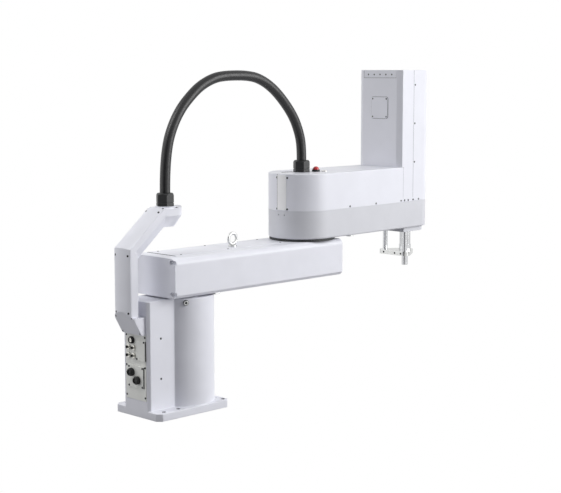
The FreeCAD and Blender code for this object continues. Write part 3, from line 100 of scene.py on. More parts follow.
def srgb(code):
    """Linear colour, with an alpha of 1, of an sRGB hex value."""
    parts = [int(code[i:i + 2], 16) / 255 for i in (1, 3, 5)]
    linear = [p / 12.92 if p <= 0.04045 else ((p + 0.055) / 1.055) ** 2.4 for p in parts]
    return (*linear, 1.0)


def length(name, text, default):
    return FloatProperty(name=name, description=text, default=default, min=0.0, unit="LENGTH")


def colour(name, text, code):
    return FloatVectorProperty(name=name, description=text, subtype="COLOR", size=4, min=0, max=1,
                               default=srgb(code))


def power(name, text, default):
    return FloatProperty(name=name, description=text, default=default, min=0.0, subtype="POWER")


class RobotSizes(PropertyGroup):
    hose_diameter: length("Hose diameter", "Outer diameter of the conduit over the arms", 0.030)
    cover_edge: length("Cover edge", "Width of the softened edges on painted covers", 0.0010)
    casting_edge: length("Casting edge", "Width of the softened edges on castings", 0.0018)
    metal_edge: length("Metal edge", "Width of the broken edges on machined pieces", 0.0006)
    small_edge: length("Small edge", "Width of the softened edges on small fittings", 0.0003)
    seal_height: length("Seal height", "How far the rubber seal stands out of a hose gland", 0.0025)


class RobotColours(PropertyGroup):
    white_paint: colour("White paint", "Powder coat on the covers and the base", "#E9EAF2")
    grey_paint: colour("Grey paint", "Paint on the arm 2 casting", "#D3D4DA")
    sheet_metal: colour("Sheet metal", "Anodised sheet of the connector panel", "#F1F2EE")
    machined: colour("Machined aluminium", "Link plate and inner brackets", "#E6E7E6")
    steel: colour("Ground steel", "Tool shaft and guide rods", "#E0E1E3")
    black_steel: colour("Black steel", "Black oxide of the screws", "#3A3B3E")
    zinc: colour("Zinc plate", "Eye bolt and stop screws", "#DCDDDC")
    nickel: colour("Nickel plate", "Air fittings", "#E4E3DE")
    black_nylon: colour("Black nylon", "Glands, connectors and bezel", "#18191B")
    hose_black: colour("Hose black", "Jacket of the conduit", "#151517")
    red: colour("Red", "Brake button", "#C8141C")
    iron: colour("Phosphated iron", "Reducers", "#2A2B2D")
    brass: colour("Brass", "Bushings", "#C9A565")


class StudioSettings(PropertyGroup):
    key_strength: power("Key", "Power of the light beside the arms in watts", 131.0)
    fill_strength: power("Fill", "Power of the light behind the column in watts", 18.0)
    side_strength: power("Side fill", "Power of the light at the rear in watts", 17.0)
    rim_strength: power("Rim", "Power of the small light over the duct in watts", 4.3)
    top_strength: power("Top", "Power of the light overhead in watts", 1.0)
    sky: FloatProperty(name="Sky", description="Strength of the even light from all round",
                       default=0.69, min=0.0)


def sizes():
    return bpy.context.scene.robot_sizes


def colours():
    return bpy.context.scene.robot_colours


# Working on meshes

# Points of a node closer than this are one, and faces that meet flatter than this are merged
WELD = 0.00001
FLAT_ANGLE = math.radians(0.6)
# Softened pieces are shaded smooth up to at least this many degrees
SMOOTH_ANGLE = 40
# Edges of small screw holes are shorter than this and stay sharp
SHORTEST_EDGE = 0.002


def choose(*objects):
    """Deselects everything else; the last one is active."""
    bpy.ops.object.select_all(action="DESELECT")
    for item in objects:
        item.select_set(True)
    bpy.context.view_layer.objects.active = objects[-1]
    return objects[-1]


def start_edit(item, kind="FACE"):
    """Opens an object in edit mode with everything selected."""
    choose(item)
    bpy.ops.object.mode_set(mode="EDIT")
    bpy.ops.mesh.select_mode(type=kind)
    bpy.ops.mesh.select_all(action="SELECT")


def end_edit():
    bpy.ops.object.mode_set(mode="OBJECT")


def pick(kind, test):
    """Selects in edit mode only the vertices, edges or faces that pass the test."""
    bpy.ops.mesh.select_mode(type=kind)
    bpy.ops.mesh.select_all(action="DESELECT")
    data = bpy.context.edit_object.data
    mesh = bmesh.from_edit_mesh(data)
    for item in {"VERT": mesh.verts, "EDGE": mesh.edges, "FACE": mesh.faces}[kind]:
        if test(item):
            item.select_set(True)
    mesh.select_flush_mode()
    bmesh.update_edit_mesh(data)


def middle(item):
    return sum((v.co for v in item.verts), Vector()) / len(item.verts)


def link(item):
    bpy.context.scene.collection.objects.link(item)


def settle(item):
    """Leaves the object at the origin, unturned and unscaled, with its place in its mesh."""
    choose(item)
    bpy.ops.object.transform_apply(location=True, rotation=True, scale=True)
    return item


def active(name):
    """The active object, under a new name."""
    item = bpy.context.active_object
    item.name = item.data.name = name
    return item


def join(name, objects):
    """One object made of several, under a new name."""
    choose(*objects)
    if len(objects) > 1:
        bpy.ops.object.join()
    return active(name)


def modify(item, kind, **settings):
    choose(item)
    modifier = item.modifiers.new(kind.title(), kind)
    for key, value in settings.items():
        setattr(modifier, key, value)
    bpy.ops.object.modifier_apply(modifier=modifier.name)
    return item


def soften(item, width, segments=2, angle=25, shortest=0.0):
    """Rounds the sharp edges, except short ones, and keeps the flats even under smooth shading."""
    limit = math.radians(angle)
    start_edit(item)
    pick("EDGE", lambda e: len(e.link_faces) == 2 and e.calc_face_angle() > limit
         and e.calc_length() > shortest)
    bpy.ops.mesh.bevel(offset=width, segments=segments, affect="EDGES", loop_slide=False)
    end_edit()
    smooth(item, max(angle, SMOOTH_ANGLE))
    return modify(item, "WEIGHTED_NORMAL", keep_sharp=True)


def smooth(item, angle=32):
    choose(item)
    bpy.ops.object.shade_smooth_by_angle(angle=math.radians(angle), keep_sharp_edges=False)
    return item


def cylinder(name, radius, low, high, vertices):
    """Upright primitive on the Z axis from low to high."""
    bpy.ops.mesh.primitive_cylinder_add(vertices=vertices, radius=radius, depth=high - low,
                                        location=(0, 0, (high + low) / 2))
    return settle(active(name))


def block(name, low, high):
    centre = [(a + b) / 2 for a, b in zip(low, high)]
    span = [b - a for a, b in zip(low, high)]
    bpy.ops.mesh.primitive_cube_add(size=1, location=centre, scale=span)
    return settle(active(name))


def combine(item, other, operation):
    modify(item, "BOOLEAN", operation=operation, object=other, solver="EXACT")
    bpy.data.objects.remove(other)
    return item


def moved(item, x, y, z):
    item.data.transform(Matrix.Translation((x, y, z)))
    return item


def copy_node(node, name):
    """Separate piece with a node's shape, its loose triangles merged into whole faces."""
    source = frame["nodes"][node]
    choose(source)
    bpy.ops.object.duplicate()
    piece = active(name)
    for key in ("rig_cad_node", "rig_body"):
        if key in piece:
            del piece[key]
    bpy.ops.object.parent_clear(type="CLEAR_KEEP_TRANSFORM")
    bpy.ops.mesh.customdata_custom_splitnormals_clear()
    start_edit(piece, "VERT")
    bpy.ops.mesh.remove_doubles(threshold=WELD)
    bpy.ops.mesh.dissolve_limited(angle_limit=FLAT_ANGLE)
    end_edit()
    return piece


def turned(name, radius, height, steps, vertices=48):
    """Turned piece on the Z axis: a disc from z 0, then steps up from its top.

    Each step is (inner radius, rise, end radius)."""
    item = cylinder(name, radius, 0, height, vertices)
    start_edit(item)
    pick("FACE", lambda f: f.normal.z > 0.9)
    level, current = height, radius
    for inner, rise, outer in steps:
        if inner < current:
            bpy.ops.mesh.inset(thickness=current - inner)
        bpy.ops.mesh.extrude_region_move(TRANSFORM_OT_translate={"value": (0, 0, rise)})
        level += rise
        if outer != inner:
            grow = outer / inner
            bpy.ops.transform.resize(value=(grow, grow, 1), center_override=(0, 0, level))
        current = outer
    end_edit()
    return item


def ribs(item, low, high, count, depth, share=0.5):
    """Raises evenly spaced ribs from the side faces between two heights."""
    start_edit(item)

    def chosen(face):
        place = middle(face)
        turn = math.atan2(place.y, place.x) / (2 * math.pi) % 1 * count % 1
        return abs(face.normal.z) < 0.1 and low < place.z < high and turn < share
    pick("FACE", chosen)
    bpy.ops.mesh.inset(thickness=depth * 0.2, depth=depth, use_individual=True)
    end_edit()
    return item


def placed(master, foot, out, scale=(1, 1, 1)):
    """Copy of the master that stands at foot, with its Z axis turned outwards."""
    choose(master)
    bpy.ops.object.duplicate()
    item = bpy.context.active_object
    turn = Vector(out).to_track_quat("Z", "Y").to_matrix().to_4x4()
    item.data.transform(Matrix.Translation(Vector(foot)) @ turn @ Matrix.Diagonal((*scale, 1)))
    return item


def stand(master, name, spots):
    """One piece made of a copy of the master at each (foot, outward direction)."""
    piece = join(name, [placed(master, foot, out) for foot, out in spots])
    bpy.data.objects.remove(master)
    return piece


def body_of(node):
    return frame["nodes"][node]["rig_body"]


def slot_of(node):
    return next(s["material_slot"] for s in frame["record"]["subparts"] if s["node"] == node)


def dress(piece, finish, node, replace=True):
    """Gives a piece its finish and its body, and hides the node that it stands for unless replace
    is off.
    """
    piece.data.materials.clear()
    piece.data.materials.append(FINISHES[finish])
    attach(piece, body_of(node))
    slot_of(node)
    if replace:
        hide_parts(node)
    return piece


def fit(master, name, spots, finish, node):
    """One dressed piece made of copies of the master at the spots."""
    return dress(stand(master, name, spots), finish, node)


def eased(node, name, width, segments=2, finish=None):
    """A node's shape with softened edges, in its place."""
    piece = soften(copy_node(node, name), width, segments, shortest=SHORTEST_EDGE)
    return dress(piece, finish or slot_of(node), node)


def eased_all(width, *pairs):
    for node, name in pairs:
        eased(node, name, width)


# Dark strips in the hose's black that paint the shade in gaps between parts
def shade_strips(rows, node):
    for name, low, high in rows:
        dress(soften(block(name, low, high), sizes().small_edge, 1), "hose_rubber", node)


# Materials

def new_material(name):
    material = bpy.data.materials.new(name)
    material.use_nodes = True
    material.node_tree.nodes.clear()
    return material, material.node_tree


def add(tree, kind, links=None, values=None, **settings):
    """Adds a shader node with its settings, socket values and links into it."""
    item = tree.nodes.new("ShaderNode" + kind)
    for key, value in settings.items():
        setattr(item, key, value)
    for key, value in (values or {}).items():
        item.inputs[key].default_value = value
    for key, socket in (links or {}).items():
        tree.links.new(socket, item.inputs[key])
    return item


def ramp(item, *stops):
    """Sets a colour ramp's stops from (position, colour) pairs."""
    elements = item.color_ramp.elements
    while len(elements) < len(stops):
        elements.new(0.5)
    for element, (position, shade) in zip(elements, stops):
        element.position, element.color = position, shade
    return item


def shade(base, factor):
    return tuple(min(1.0, c * factor) for c in base[:3]) + (1.0,)


def grain(tree, size, detail, squash=(1, 1, 1)):
    """Object-space noise whose grains are about this many metres across."""
    place = add(tree, "TexCoord")
    turned = add(tree, "Mapping", {"Vector": place.outputs["Object"]},
                 {"Scale": tuple(k / size for k in squash)})
    return add(tree, "TexNoise", {"Vector": turned.outputs["Vector"]},
               {"Scale": 1.0, "Detail": detail, "Roughness": 0.55})


def surface(tree, shader):
    add(tree, "OutputMaterial", {"Surface": shader.outputs[0]})


def noise_surface(tree, base, tones, gloss, relief, values):
    """Principled surface whose tint, gloss and relief each follow a noise.

    tones and gloss hold a noise, its low and high ends and the factor or roughness at each;
    relief holds a noise, a strength and a distance."""
    noise, low, high, dark, bright = tones
    tint = ramp(add(tree, "ValToRGB", {"Fac": noise.outputs["Fac"]}),
                (low, shade(base, dark)), (high, shade(base, bright)))
    noise, low, high, least, most = gloss
    rough = add(tree, "MapRange", {"Value": noise.outputs["Fac"]},
                {"From Min": low, "From Max": high, "To Min": least, "To Max": most})
    noise, strength, distance = relief
    bump = add(tree, "Bump", {"Height": noise.outputs["Fac"]},
               {"Strength": strength, "Distance": distance})
    surface(tree, add(tree, "BsdfPrincipled",
                      {"Base Color": tint.outputs["Color"], "Roughness": rough.outputs["Result"],
                       "Normal": bump.outputs["Normal"]}, values))


def powder_coat(name, base, roughness, peel, spread):
    """Powder coat over metal: satin, with fine orange peel and a faint drift in gloss and tint."""
    material, tree = new_material(name)
    fine, broad = grain(tree, peel, 2.0), grain(tree, spread, 2.0)
    noise_surface(tree, base, (broad, 0.3, 0.7, 0.975, 1.015),
                  (broad, 0.3, 0.7, roughness - 0.03, roughness + 0.03), (fine, 0.16, 0.00012),
                  {"IOR": 1.5, "Specular IOR Level": 0.45})
    return material


def directional_metal(name, base, roughness, size, squash):
    """Bare metal with lines left by grinding or brushing, longest along the axis squashed least."""
    material, tree = new_material(name)
    lines = grain(tree, size, 4.0, squash)
    noise_surface(tree, base, (lines, 0.25, 0.75, 0.86, 1.0),
                  (lines, 0.25, 0.75, roughness * 0.75, roughness * 1.3), (lines, 0.25, 0.00004),
                  {"Metallic": 1.0})
    return material


def moulded(name, base, roughness, pore, strength, coat=0.0, metallic=0.0):
    """Moulded or cast surface with an even pebbled texture and a faint colour change."""
    material, tree = new_material(name)
    pores, broad = grain(tree, pore, 3.0), grain(tree, pore * 25, 2.0)
    noise_surface(tree, base, (broad, 0.3, 0.7, 0.88, 1.12),
                  (pores, 0.3, 0.7, roughness - 0.05, roughness + 0.07), (pores, strength, 0.0002),
                  {"IOR": 1.5, "Metallic": metallic, "Coat Weight": coat, "Coat Roughness": 0.12})
    return material


FINISHES = {}


def make_finishes():
    c = colours()
    FINISHES.update({
        # Satin polyester powder coat; orange peel is about 1 mm across, drawn at 3 mm to show
        "white_paint": powder_coat("powder_coated_aluminium", c.white_paint, 0.36, 3 * MM,
                                   90 * MM),
        # The same paint over a sand casting reads a little coarser and greyer
        "grey_paint": powder_coat("painted_casting", c.grey_paint, 0.42, 2.2 * MM, 60 * MM),
        # Blasted and anodised sheet: matt, neutral light grey, with a grain of 0.2 mm drawn at 1 mm
        "panel_aluminium": powder_coat("anodised_aluminium_sheet", c.sheet_metal, 0.46, 1 * MM,
                                       40 * MM),
        # Milled plate: faint tool lines across
        "machined_aluminium": directional_metal("machined_aluminium", c.machined, 0.24, 1.5 * MM,
                                                (1, 0.08, 1)),
        # Centreless-ground bar: rings round the axis
        "bright_steel": directional_metal("ground_steel", c.steel, 0.16, 1 * MM, (0.05, 0.05, 1)),
        "nickel_plate": directional_metal("nickel_plated_brass", c.nickel, 0.2, 2 * MM, (1, 1, 1)),
        # Zinc-plated screw heads: light grey, a little duller than ground steel
        "stop_steel": directional_metal("zinc_plated_screw", c.zinc, 0.32, 2 * MM, (1, 1, 1)),
        # Plain white paint without the blue cast of the covers
        "strip_paint": powder_coat("painted_strip", srgb("#FAFAFB"), 0.4, 3 * MM, 90 * MM),
        # Painted shade inside the bolt holes: dull and dark, on bore walls left bare by the paint
        "bore_shade": moulded("bare_cast_bore", srgb("#5C5D61"), 0.6, 1 * MM, 0.3),
        # Painted shade for the gaps between covers: matt and dark grey
        "seam_shadow": moulded("joint_seal_rubber", srgb("#55565A"), 0.8, 2 * MM, 0.1),
        # Black oxide keeps a dull metal sheen
        "screw_steel": moulded("black_oxide_steel", c.black_steel, 0.38, 1 * MM, 0.1, metallic=1.0),
        "eye_bolt_steel": directional_metal("zinc_plated_steel", c.zinc, 0.3, 3 * MM, (1, 1, 1)),
        # Glass-filled nylon: dull black with a fine pebble
        "black_plastic": moulded("moulded_nylon", c.black_nylon, 0.42, 1.2 * MM, 0.3),
        # Smooth extruded jacket with a soft gloss
        "hose_rubber": moulded("extruded_conduit_jacket", c.hose_black, 0.38, 6 * MM, 0.01),
        "red_plastic": moulded("glossy_red_button", c.red, 0.22, 5 * MM, 0.03, coat=0.6),
        "dark_cast_iron": moulded("phosphated_cast_iron", c.iron, 0.55, 2 * MM, 0.5),
        "motor_black": moulded("motor_enamel", c.iron, 0.4, 3 * MM, 0.2),
        "belt_rubber": moulded("belt_rubber", c.hose_black, 0.7, 1 * MM, 0.4),
        "bushing_brass": directional_metal("turned_brass", c.brass, 0.25, 1 * MM, (1, 1, 0.1)),
    })
    return FINISHES


class FinishNodes(Operator):
    """Give every node of the frame its real finish."""
    bl_idname = "robot.finish_nodes"
    bl_label = "Finish the nodes"

    def execute(self, context):
        finishes = make_finishes()
        for entry in frame["record"]["subparts"]:
            data = frame["nodes"][entry["node"]].data
            data.materials.clear()
            data.materials.append(finishes[entry["material_slot"]])
        return {"FINISHED"}


# Hose

# Points along each span of the line, and rings of faces in a quarter of its round
HOSE_STEPS = 24
HOSE_ROUND = 10


def hose_piece(name, route, node):
    """Smooth conduit on a NURBS line through the route."""
    curve = bpy.data.curves.new(name, "CURVE")
    curve.dimensions = "3D"
    curve.resolution_u = HOSE_STEPS
    spline = curve.splines.new("NURBS")
    spline.points.add(len(route) - 1)
    for point, (x, z) in zip(spline.points, route):
        point.co = (x, 0, z, 1)
    spline.order_u = 3
    spline.use_endpoint_u = True
    item = bpy.data.objects.new(name, curve)
    link(item)
    bpy.context.view_layer.update()
    line = bpy.data.meshes.new_from_object(item)
    path = [tuple(v.co) for v in line.vertices]
    diameter = sizes().hose_diameter
    curve.bevel_depth = diameter / 2
    curve.bevel_resolution = HOSE_ROUND
    curve.use_fill_caps = True
    choose(item)
    bpy.ops.object.convert(target="MESH")
    piece = bpy.context.active_object
    piece.data.materials.clear()
    piece.data.materials.append(FINISHES["hose_rubber"])
    smooth(piece, 40)
    run = sum((Vector(b) - Vector(a)).length for a, b in zip(path, path[1:]))
    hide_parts(node)
    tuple(path[0])
    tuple(path[-1])
    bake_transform(piece)
    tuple(path[0])
    return piece


class AddHose(Operator):
    """Add both halves of the conduit that arches from the base to arm 2."""
    bl_idname = "robot.add_hose"
    bl_label = "Hose"

    def execute(self, context):
        hose_piece("conduit_lower", LOWER_ROUTE, "hose_lower")
        hose_piece("conduit_upper", UPPER_ROUTE, "hose_upper")
        return {"FINISHED"}


# Base

REAR = (-1, 0, 0)
FRONT = (1, 0, 0)
UP = (0, 0, 1)

# Direction, distance from joint 1 and height of the stop bolt, and the foot of the stop's buffer
STOP_BOLT_TURN = math.radians(-123)
STOP_BOLT_FOOT = 0.0948
STOP_BOLT_Z = 0.3215
BUFFER_FOOT = (0.0695, -0.0825, 0.3366)
# Turned pieces, each with its radius, height, steps and sides as turned takes them
BUFFER = (0.0022, 0.0052, ((0.0022, 0.0006, 0.0016),), 32)
STOP_BOLT_HEAD = (0.0068, 0.0050, ((0.0068, 0.0010, 0.0060),))
# Dark ring under the stop bolt's head: painted shade of the gap round it
STOP_BOLT_SHADE_RING = (0.0080, 0.0030, ((0.0070, -0.0012, 0.0070),))
# Dark disc deep in the stop bolt's socket: painted shade of its depth
STOP_BOLT_SOCKET_SHADE = (0.0034, 0.0018, ((0.0026, 0.0002, 0.0024),), 24)
# Hexagon socket, with its radius, ends and sides as cylinder takes them
STOP_BOLT_SOCKET = (0.0036, 0.0012, 0.008, 6)

# Painted shade: dark strips along the near edges of the two cover plates, in the gaps beside them
PLATE_GAP_SHADES = (("upper_plate_strip", (-0.1737, -0.0456, 0.1650), (-0.1712, -0.0438, 0.2215)),
              ("lower_plate_strip", (-0.1737, -0.0378, 0.0865), (-0.1712, -0.0359, 0.1455)))

# Axes of the bolt holes in the flange, their radius with a little to spare, and the height that
# their walls stay under
FLANGE_HOLES = [(x, y) for x in (-0.1385, -0.0850, 0.0860) for y in (-0.0815, 0.0815)]
FLANGE_HOLE_REACH = 0.0063
FLANGE_TOP = 0.0225


def shade_holes(item):
    """Paints shade on the walls of the flange's bolt holes, which the paint leaves bare."""
    item.data.materials.append(FINISHES["bore_shade"])
    for face in item.data.polygons:
        spot = face.center
        near = min(math.hypot(spot.x - x, spot.y - y) for x, y in FLANGE_HOLES)
        if near < FLANGE_HOLE_REACH and abs(face.normal.z) < 0.5 and spot.z < FLANGE_TOP:
            face.material_index = 1


class AddBase(Operator):
    """Add the base casting, the connector panel with its plates, and the joint 1 stops."""
    bl_idname = "robot.add_base"
    bl_label = "Base"

    def execute(self, context):
        size = sizes()
        # The flange's bolt holes get painted shade on their walls
        shade_holes(eased("base_casting", "column_casting", size.casting_edge, 3))
        eased_all(size.small_edge, ("connector_panel", "rear_panel"),
                  ("upper_subplate", "upper_cover_plate"), ("lower_subplate", "lower_cover_plate"))
        # Painted shade in the gaps beside the cover plates
        shade_strips(PLATE_GAP_SHADES, "connector_panel")
        eased("j1_output_flange", "joint_1_flange", size.metal_edge)
        eased("j1_stop", "joint_1_stop_block", size.metal_edge, finish="stop_steel")
        buffer = soften(turned("buffer_master", *BUFFER), size.small_edge)
        fit(buffer, "joint_1_buffer", [(BUFFER_FOOT, FRONT)], "bright_steel", "j1_stop")
        out = Vector((math.cos(STOP_BOLT_TURN), math.sin(STOP_BOLT_TURN), 0))
        spots = [(out * STOP_BOLT_FOOT + Vector((0, 0, STOP_BOLT_Z)), out)]
        head = turned("stop_bolt_master", *STOP_BOLT_HEAD)
        combine(head, cylinder("stop_bolt_hexagon", *STOP_BOLT_SOCKET), "DIFFERENCE")
        soften(head, size.small_edge)
        fit(head, "stop_bolt", spots, "stop_steel", "j1_stop_bolt")
        # Painted shade: dark ring round the stop bolt's head
        ring = soften(turned("washer_master", *STOP_BOLT_SHADE_RING), size.small_edge)
        fit(ring, "stop_bolt_washer", spots, "screw_steel", "j1_stop_bolt")
        # Painted shade: dark disc deep in the socket
        socket_shade = turned("plug_master", *STOP_BOLT_SOCKET_SHADE)
        fit(socket_shade, "stop_bolt_socket", spots, "screw_steel", "j1_stop_bolt")
        return {"FINISHED"}


# Pieces of the plugs and fittings: node, piece, finish, turned shape, and the ribs' low and high
# ends, count and depth
PLUG_PIECES = (
    # Power: screwed cap with grip ribs, a smaller ring and a recessed face with its contacts
    ("power_connectors", "power_plugs", "black_plastic",
     (0.0110, 0.0091, ((0.0094, 0.0039, 0.0090), (0.0072, -0.0045, 0.0072),
                       (0.0036, 0.0020, 0.0034)), 72), (0.0005, 0.0086, 36, 0.0006)),
    # Signal: ribbed ring round a plated insert
    ("signal_connector", "signal_plug", "black_plastic",
     (0.0098, 0.0063, ((0.0084, 0.0027, 0.0082), (0.0070, -0.0040, 0.0070))),
     (0.0005, 0.0060, 12, 0.0007)),
    ("signal_connector", "signal_insert", "nickel_plate",
     (0.0066, 0.0070, ((0.0052, -0.0012, 0.0052), (0.0016, 0.0014, 0.0014))), None),
    # Air: plated nut against the panel, a stem, and a black release collar
    ("air_fittings", "air_nuts", "nickel_plate",
     (0.0074, 0.0040, ((0.0048, 0.0030, 0.0044),)), (0.0004, 0.0038, 24, 0.0004)),
    ("air_fittings", "air_collars", "black_plastic",
     (0.0043, 0.0098, ((0.0030, -0.0030, 0.0026),), 32), None),
)


def feet(node):
    """Where each round solid of a node stands on the panel, and the way it faces."""
    return [(centre + Vector((height / 2, 0, 0)), REAR) for centre, _, _, height in islands(node)]


class AddConnectors(Operator):
    """Add the plugs and air fittings on the rear panel."""
    bl_idname = "robot.add_connectors"
    bl_label = "Connectors"

    def execute(self, context):
        for node, name, finish, shape, grip in PLUG_PIECES:
            master = turned(name + "_master", *shape)
            if grip:
                ribs(master, *grip)
            soften(master, sizes().small_edge, 1 if grip else 2)
            fit(master, name, feet(node), finish, node)
        return {"FINISHED"}


# Duct

# Slanted face under the duct, from its low end up and to the rear, and the plate that closes it
SLANT_LOW = Vector((-0.1825, 0, 0.2390))
SLANT_UP = Vector((-0.4878, 0, 0.8729))
SLANT_OUT = Vector((-0.8729, 0, -0.4878))
# Half of the plate's outline as (distance to the side, distance up the slant)
PLATE_OUTLINE = ((0.0375, 0.0), (0.0412, 0.0012), (0.0428, 0.0045), (0.0430, 0.0100),
                 (0.0430, 0.0480), (0.0422, 0.0540), (0.0395, 0.0600), (0.0350, 0.0655),
                 (0.0290, 0.0695), (0.0200, 0.0728), (0.0100, 0.0747), (0.0, 0.0752))
PLATE_SCREWS = ((0.0345, 0.0590), (-0.0345, 0.0590), (0.0375, 0.0060), (-0.0375, 0.0060))
# How far the plate goes into the slant, its thickness, and how far its screws stand out
PLATE_SUNK = 0.0006
PLATE_THICK = 0.0009
PLATE_SCREW_PROUD = 0.0002
PLATE_SCREW = (0.0024, 0.0004, ((0.0012, -0.0004, 0.0010),), 24)


def slant_spot(side, up, proud):
    return SLANT_LOW + SLANT_UP * up + SLANT_OUT * proud + Vector((0, side, 0))


def foot_plate(width):
    """Plate over the slanted underside, rounded where it meets the crowned back of the duct."""
    outline = [*PLATE_OUTLINE, *((-y, up) for y, up in PLATE_OUTLINE[-2::-1])]
    data = bpy.data.meshes.new("foot_plate")
    spots = [slant_spot(y, up, -PLATE_SUNK) for y, up in outline]
    data.from_pydata(spots, [], [list(range(len(spots)))])
    plate = bpy.data.objects.new("foot_plate", data)
    link(plate)
    start_edit(plate)
    bpy.ops.mesh.extrude_region_move(TRANSFORM_OT_translate={"value": SLANT_OUT * PLATE_THICK})
    bpy.ops.mesh.select_all(action="SELECT")
    bpy.ops.mesh.normals_make_consistent(inside=False)
    end_edit()
    return soften(plate, width, 1)


class AddDuct(Operator):
    """Add the cable duct with its foot, rear cover, slanted plate and top plate."""
    bl_idname = "robot.add_duct"
    bl_label = "Duct"

    def execute(self, context):
        size = sizes()
        eased_all(size.cover_edge, ("duct_body", "cable_duct"), ("duct_foot", "duct_bracket"),
                  ("duct_gland_plate", "duct_top"))
        back = copy_node("duct_rear_cover", "duct_back")
        start_edit(back)
        bpy.ops.mesh.bisect(plane_co=SLANT_LOW, plane_no=SLANT_OUT, use_fill=True,
                            clear_outer=True)
        end_edit()
        soften(back, size.cover_edge, shortest=SHORTEST_EDGE)
        dress(back, "white_paint", "duct_rear_cover")
        dress(foot_plate(size.small_edge), "white_paint", "duct_foot")
        spots = [(slant_spot(y, up, PLATE_SCREW_PROUD), SLANT_OUT) for y, up in PLATE_SCREWS]
        screw = turned("plate_screw", *PLATE_SCREW)
        fit(screw, "foot_plate_screws", spots, "screw_steel", "duct_foot")
        return {"FINISHED"}


# Glands

GLAND_CORNER = 0.02655
# Heights over the seat, and the radius of the seal
GLAND_BODY_TOP = 0.0094
GLAND_NECK_FOOT = 0.0090
GLAND_NUT = (0.0104, 0.0380)
GLAND_SEAL_FOOT = 0.0340
GLAND_SEAL_R = 0.0176
GLAND_NECK = (0.0222, 0.0016, ((0.0200, 0.0004, 0.0198),))
# What the nut's hexagon is turned down to
GLAND_SHAPE = (0.0262, 0.0210, ((0.0262, 0.0048, 0.0222), (0.0222, 0.0006, 0.0208)), 72)


def hexagon(name, low, high):
    """Hexagon bar with two corners on the X axis."""
    bar = cylinder(name, GLAND_CORNER, low, high, 6)
    bar.data.transform(Matrix.Rotation(math.radians(30), 4, "Z"))
    return bar


def gland_master(size):
    """Hexagon body below a hexagon nut that is turned down at its top; z 0 is the seat."""
    body = soften(hexagon("gland_body", 0, GLAND_BODY_TOP), size.metal_edge)
    neck = moved(turned("gland_neck", *GLAND_NECK), 0, 0, GLAND_NECK_FOOT)
    shape = moved(turned("gland_shape", *GLAND_SHAPE), 0, 0, GLAND_NUT[0])
    nut = combine(hexagon("gland_nut", *GLAND_NUT), shape, "INTERSECT")
    soften(nut, size.metal_edge, 2, 35)
    return join("gland_master", (nut, neck, body))


def seal_master(size):
    """Rubber seal that closes round the hose."""
    steps = ((GLAND_SEAL_R, 0.0010, size.hose_diameter / 2 + 0.0006),)
    seal = turned("gland_seal", GLAND_SEAL_R, size.seal_height, steps)
    return soften(moved(seal, 0, 0, GLAND_SEAL_FOOT), size.small_edge)


class AddGlands(Operator):
    """Add the cable glands on the duct and on arm 2."""
    bl_idname = "robot.add_glands"
    bl_label = "Glands"

    def execute(self, context):
        size = sizes()
        for node, name in (("base_gland", "duct_gland"), ("arm_gland", "arm_2_gland")):
            low, high = (Vector(c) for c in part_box(node))
            foot = ((low.x + high.x) / 2, (low.y + high.y) / 2, low.z)
            spots = [(foot, UP)]
            fit(gland_master(size), name, spots, "black_plastic", node)
            fit(seal_master(size), name + "_seal", spots, "hose_rubber", node)
        return {"FINISHED"}


# Arms

# Rear edge of the lid in the solids, how much further back it goes, and the dark strip of painted
# shade in the gap behind it
LID_REAR = -0.0410
LID_REACH = 0.0155
LID_SHADE_WIDTH = 0.0050
LID_SHADE_OVERLAP = 0.0002
LID_SHADE_SPAN = (-0.0450, 0.0780)
LID_SHADE_Z = (0.4490, 0.4519)
EYE_RING_R = 0.01575
EYE_WIRE_R = 0.0045
EYE_COLLAR_HEIGHT = 0.007
EYE_COLLAR = (0.0120, 0.0052, ((0.0120, 0.0018, 0.0098), (0.0075, 0.0030, 0.0050)))


class AddArmOne(Operator):
    """Add arm 1 with its end caps, top cover, the strip of painted shade behind the cover, and the
    eye bolt.
    """
    bl_idname = "robot.add_arm_one"
    bl_label = "Arm 1"

    def execute(self, context):
        size = sizes()
        eased_all(size.cover_edge, ("arm_1_beam", "inner_arm"),
                  ("arm_1_front_cap", "inner_arm_tip"))
        eased("j2_reducer", "joint_2_ring", size.small_edge)
        lid = copy_node("arm_1_top_cover", "inner_arm_lid")
        start_edit(lid)
        pick("VERT", lambda v: v.co.x < LID_REAR + 0.0005)
        bpy.ops.transform.translate(value=(-LID_REACH, 0, 0))
        end_edit()
        soften(lid, size.small_edge, shortest=SHORTEST_EDGE)
        dress(lid, "white_paint", "arm_1_top_cover")
        rear = LID_REAR - LID_REACH
        # Painted shade: dark strip in the gap behind the lid
        seal = block("lid_seal", (rear - LID_SHADE_WIDTH, LID_SHADE_SPAN[0], LID_SHADE_Z[0]),
                     (rear + LID_SHADE_OVERLAP, LID_SHADE_SPAN[1], LID_SHADE_Z[1]))
        soften(seal, size.small_edge)
        dress(seal, "seam_shadow", "arm_1_top_cover")
        low, high = (Vector(c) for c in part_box("eye_bolt"))
        centre = (low + high) / 2
        top = high.z - EYE_RING_R - EYE_WIRE_R
        bpy.ops.mesh.primitive_torus_add(major_segments=72, minor_segments=20,
                                         major_radius=EYE_RING_R, minor_radius=EYE_WIRE_R,
                                         location=(centre.x, centre.y, top),
                                         rotation=(math.pi / 2, 0, 0))
        ring = settle(active("lifting_eye"))
        foot = top - EYE_RING_R - EYE_WIRE_R / 2 - EYE_COLLAR_HEIGHT
        collar = moved(turned("eye_collar", *EYE_COLLAR), centre.x, centre.y, foot)
        bolt = soften(combine(ring, collar, "UNION"), size.small_edge, 2, 50)
        dress(bolt, "eye_bolt_steel", "eye_bolt")
        return {"FINISHED"}


# Painted shade: dark strips in the gap beside the access strip and over the cable well behind the
# gland
ARM_TWO_GAP_SHADES = (("access_strip_gap", (0.3946, 0.0027, 0.5490), (0.3975, 0.0046, 0.6570)),
                 ("cable_well_seal", (0.4360, 0.0215, 0.6570), (0.4760, 0.0290, 0.6594)))


